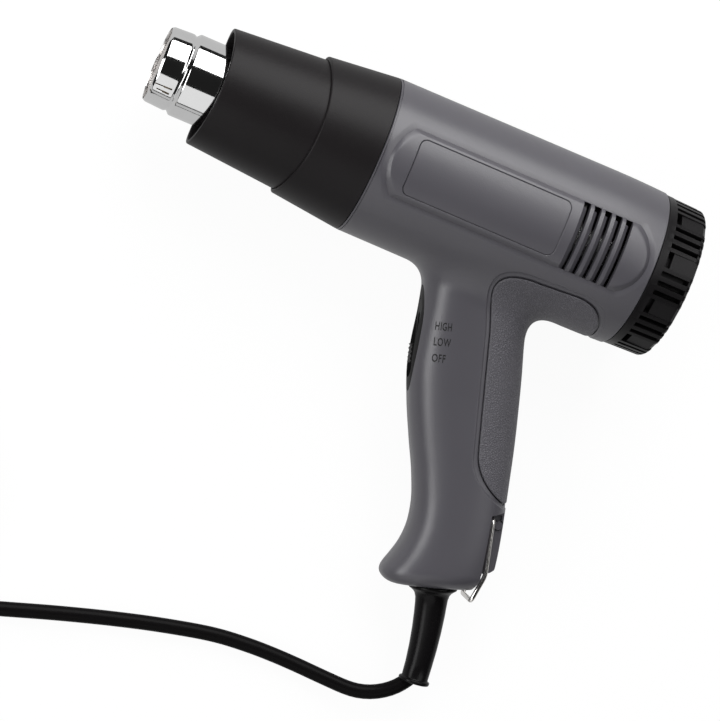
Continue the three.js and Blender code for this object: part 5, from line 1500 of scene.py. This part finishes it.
def add_guard():
    profile = eased([
        (GUARD_FRONT_X, GUARD_FRONT_R - GUARD_WALL), (GUARD_FRONT_X, GUARD_FRONT_R),
        (GUARD_REAR_X, guard_radius(GUARD_REAR_X)), (GUARD_REAR_X, guard_radius(GUARD_REAR_X) - GUARD_WALL),
    ], 0.7)
    guard = swept_back(lathe(profile), GUARD_FRONT_X, COLLAR_FRONT_X, GUARD_SWEEP)
    done(guard, "tapered_guard", GUARD, ("nozzle_guard",))


def add_nozzle():
    radii = (NOZZLE_FRONT_R, NOZZLE_STEP_R, NOZZLE_REAR_R)
    front_bore, step_bore, rear_bore = [radius - NOZZLE_WALL for radius in radii]
    mouth, step, rear = NOZZLE_MOUTH_X, NOZZLE_STEP_X, NOZZLE_REAR_X
    fall, climb, flange = step - NOZZLE_STEP_FALL, step + NOZZLE_STEP_CLIMB, rear - NOZZLE_WALL
    nozzle = lathe(eased([
        (mouth, front_bore + NOZZLE_LIP), (mouth, NOZZLE_FRONT_R - NOZZLE_BEVEL),
        (mouth + NOZZLE_BEVEL_RUN, NOZZLE_FRONT_R + NOZZLE_LIP), (fall, NOZZLE_STEP_R),
        (step, NOZZLE_STEP_R - NOZZLE_GROOVE), (climb, NOZZLE_REAR_R), (flange, NOZZLE_REAR_R),
        (flange, NOZZLE_FLANGE_R), (rear, NOZZLE_FLANGE_R), (rear, rear_bore), (climb, rear_bore),
        (step, step_bore - NOZZLE_GROOVE), (fall, step_bore),
    ], 0.5))
    for side in (-1, 1):
        low, high = sorted((side * LANCE_INNER, side * LANCE_OUTER))
        for slit in LANCE_SLITS:
            cut(nozzle, prism(eased(slit, 0.3), low, high))
    done(nozzle, "chrome_nozzle", CHROME, ("nozzle_tube",), sharp=28)


def woven(net, points, wires, radius, wire_r):
    """Two sets of parallel wires across a round mouth, each as long as its chord."""
    step = radius * 2 / (wires + 1)
    first = net.add("ShaderNodeCombineXYZ", None, {1: step - radius})
    offset = net.add("ShaderNodeCombineXYZ", None, {1: step})
    line = net.add("GeometryNodeMeshLine", None, {"Count": wires, "Start Location": first, "Offset": offset})
    place = net.add("GeometryNodeInputPosition")
    height = net.add("ShaderNodeSeparateXYZ", None, {0: place}, output=1)
    chord = (radius ** 2 - height ** 2) ** 0.5 * 2
    scale = net.add("ShaderNodeCombineXYZ", None, {0: 1, 1: 1, 2: chord})
    wire = net.add("GeometryNodeMeshCylinder", None, {"Vertices": 6, "Radius": wire_r, "Depth": 1})
    inputs = {"Points": line, "Instance": wire, "Scale": scale}
    upright = net.add("GeometryNodeInstanceOnPoints", None, inputs)
    lift = net.add("ShaderNodeCombineXYZ", None, {0: wire_r * 1.6})
    inputs = {"Geometry": upright, "Translation": lift, "Rotation": (math.pi / 2, 0, 0)}
    level = net.add("GeometryNodeTransform", None, inputs)
    return net.add("GeometryNodeJoinGeometry", None, {0: [upright, level]})


def add_screen():
    sizes = {"wires": SCREEN_WIRES, "radius": SCREEN_R, "wire_r": SCREEN_WIRE_R}
    made = grown("screen_weave", sizes, woven, SCREEN_STEEL)
    made.data.transform(Matrix.Translation((SCREEN_X, 0, 0)))
    done(made, "woven_screen", SCREEN_STEEL, ("mouth_screen",))


add_collar()
add_guard()
add_nozzle()
add_screen()


# Rear cap with its ring of intake slots

def slot_ring(net, points, count, radius, width, length, depth, start, tilt):
    """Cutters set round the cap, each square to its rim or tilted over its rear edge."""
    step = net.add("GeometryNodeInputIndex")
    angle = start + step * (2 * math.pi) / count
    side = net.add("ShaderNodeMath", {"operation": "COSINE"}, {0: angle}) * radius
    height = net.add("ShaderNodeMath", {"operation": "SINE"}, {0: angle}) * radius
    place = net.add("ShaderNodeCombineXYZ", None, {1: side, 2: height})
    line = net.add("GeometryNodeMeshLine", None, {"Count": count})
    ring = net.add("GeometryNodeSetPosition", None, {"Geometry": line, "Position": place})
    size = net.add("ShaderNodeCombineXYZ", None, {0: length, 1: depth, 2: width})
    bar = net.add("GeometryNodeMeshCube", None, {"Size": size})
    lean = net.add("ShaderNodeCombineXYZ", None, {2: tilt})
    leaning = net.add("GeometryNodeTransform", None, {"Geometry": bar, "Rotation": lean})
    turn = net.add("ShaderNodeCombineXYZ", None, {0: angle})
    inputs = {"Points": ring, "Instance": leaning, "Rotation": turn}
    return net.add("GeometryNodeInstanceOnPoints", None, inputs)


def cap_cutters(start, width, middle, radius, length, depth, tilt=0.0):
    """Bars at ten places round the cap, with their middle at a place along it and a radius."""
    chord = 2 * math.tan(width / 2) * CAP_R
    sizes = {
        "count": CAP_PERIODS, "radius": radius, "width": chord, "length": length, "depth": depth,
        "start": start, "tilt": tilt,
    }
    made = grown("intake_cutters", sizes, slot_ring, CAP)
    made.data.transform(Matrix.Translation((middle, 0, 0)))
    return made


def cut_slots(cap, start, width, opening, floor):
    """Slots through the cap's wall along the opening, then down to a floor and over the rear edge."""
    front = BODY_LENGTH + SEAT_GAP + CAP_BAND
    rear = BODY_LENGTH + CAP_LENGTH
    length = rear - CAP_EDGE + CAP_SLOT_OVERRUN - front
    tall = CAP_CUTTER
    edge = CAP_EDGE / 4 + CAP_RIB_GROOVE * math.sqrt(0.5) - tall / 2 * math.sqrt(0.5)
    cut(cap, cap_cutters(start, width, front + opening / 2, CAP_R - 1, opening, CAP_CUTTER_TALL))
    cut(cap, cap_cutters(start, width, front + length / 2, CAP_R - floor + tall / 2, length, tall))
    shallow = CAP_REAR_R - CAP_RIB_GROOVE + tall / 2
    cut(cap, cap_cutters(start, width, front + length + CAP_RIM_SHIFT, shallow, tall, tall))
    cut(cap, cap_cutters(start, width, rear - edge, CAP_REAR_R - edge, CAP_CUTTER_LONG, tall, -math.pi / 4))


def add_cap():
    rear = BODY_LENGTH + CAP_LENGTH
    spigot_r = body_radius(BODY_LENGTH) - WALL - SEAT_GAP - CAP_SPIGOT_SLACK
    bore = spigot_r - CAP_WALL
    front = BODY_LENGTH + SEAT_GAP
    cap = lathe([
        (rear - CAP_WALL, 0),
        *eased([
            (rear - CAP_WALL, bore), (BODY_LENGTH - CAP_SPIGOT, bore), (BODY_LENGTH - CAP_SPIGOT, spigot_r),
            (front, spigot_r), (front, CAP_R),
        ], 0.4)[6:],
        *bezier((rear - CAP_EDGE, CAP_REAR_R), (rear, CAP_REAR_R), (rear, CAP_REAR_R - CAP_EDGE), 8),
        (rear, 0),
    ], 160)
    cut_slots(cap, CAP_TURN, CAP_WIDE_SLOT, CAP_WIDE_OPENING, CAP_WIDE_DEPTH)
    opening = rear - CAP_EDGE + CAP_SLOT_OVERRUN - front - CAP_BAND
    for step in (-1, 0, 1):
        start = CAP_TURN + math.pi / CAP_PERIODS + step * CAP_SLOT_STEP
        cut_slots(cap, start, CAP_NARROW_SLOT, opening, CAP_WIDE_DEPTH)
    done(cap, "slotted_cap", CAP, ("rear_cap",), sharp=30)


add_cap()


# Hanging bail

def add_bail():
    half = [
        (BAIL_PIVOT, BAIL_PIVOT_BACK, BAIL_END), (BAIL_PIVOT, BAIL_PIVOT_BACK, BAIL_HALF_WIDTH),
        (BAIL_KNEE, BAIL_KNEE_BACK, BAIL_HALF_WIDTH), (BAIL_CROSS_BAR, BAIL_CROSS_BACK, BAIL_HALF_WIDTH),
    ]
    corners = [Vector(point) for point in half] + [Vector((s, t, -z)) for s, t, z in reversed(half)]
    line = [corners[0]]
    for before, here, after in zip(corners, corners[1:], corners[2:]):
        start = here + (before - here).normalized() * BAIL_BEND
        end = here + (after - here).normalized() * BAIL_BEND
        line += [Vector(point) for point in bezier(start, here, end, 8)]
    line.append(corners[-1])
    bail = tube(line, BAIL_WIRE_R, 20)
    done(bail, "wire_bail", BAIL_WIRE, ("hanging_bail",), "bail", TOOL @ HANDLE)


add_bail()


# Finishes of the CAD nodes that stay

NODE_FINISHES = {
    STEEL: ("heater_flange", "motor_can", "motor_shaft", "clamp_screw_1", "clamp_screw_2"),
    BRASS: ("thermal_cutout", "front_bearing", "rear_bearing"),
    COPPER: ("armature", "commutator"),
    MICA: ("mica_sleeve", "heater_former"),
    MESH_WIRE: ("heating_element",),
    INNER_PLASTIC: ("air_duct", "motor_mount", "motor_end_bell", "impeller", "cord_clamp", "switch_body"),
    FERRITE: ("left_magnet", "right_magnet", "upper_brush", "lower_brush"),
    BOARD: ("rectifier_board",),
    WIRE_SKIN: ("live_wire", "neutral_wire"),
    RUBBER: ("inner_lead",),
}
for finish, names in NODE_FINISHES.items():
    for name in names:
        for place in frame["nodes"][name].material_slots:
            place.material = finish


# Stage and light

def add_floor():
    finish = Finish("pale_floor", roughness=0.9)
    finish.paint(base_color=grey(0.86))
    path = finish.add("ShaderNodeLightPath")
    names = ("Is Camera Ray", "Is Glossy Ray", "Is Transmission Ray")
    camera, glossy, through_glass = [Socket(finish, path.output.node.outputs[name]) for name in names]
    seen = (camera + glossy + through_glass) * FLOOR_GLOW
    glow = finish.add("ShaderNodeEmission", None, {"Color": 1 - glossy * FLOOR_GLOSS_FALL, "Strength": 1.0})
    plain = Socket(finish, finish.shader.outputs[0])
    mixed = finish.add("ShaderNodeMixShader", None, {0: seen, 1: plain, 2: glow})
    finish.feed(finish.tree.nodes["Material Output"], {0: mixed})
    floor = linked(bpy.data.meshes.new("floor"))
    corners = [(x * FLOOR_HALF, y * FLOOR_HALF, -MM) for x, y in ((-1, -1), (1, -1), (1, 1), (-1, 1))]
    floor.data.from_pydata(corners, [], [(0, 1, 2, 3)])
    floor.data.materials.append(finish.material)


def add_lamp(name, steps, sizes, power):
    """A soft lamp with its sizes across and up, placed by the photo's own directions from the object."""
    right, up, back = steps
    way = Vector(CAMERA_RIGHT) * right - Vector(CAMERA_DOWN) * up - Vector(CAMERA_AHEAD) * back
    lamp = linked(bpy.data.lights.new(name, "AREA"))
    lamp.data.shape = "RECTANGLE"
    lamp.data.size, lamp.data.size_y = sizes
    lamp.data.energy = power
    turn = (-way).to_track_quat("-Z", "Y").to_matrix().to_4x4()
    lamp.matrix_world = Matrix.Translation(Vector(LAMP_TARGET) + way) @ turn


def add_world():
    world = bpy.data.worlds.new("studio")
    world.use_nodes = True
    net = Net(world.node_tree)
    net.feed(net.tree.nodes["Background"], {"Color": grey(1), "Strength": WORLD_LIGHT})
    bpy.context.scene.world = world


add_floor()
for lamp_name, settings in LAMPS.items():
    add_lamp(lamp_name, *settings)
add_world()
bpy.context.scene.view_settings.view_transform = "Standard"
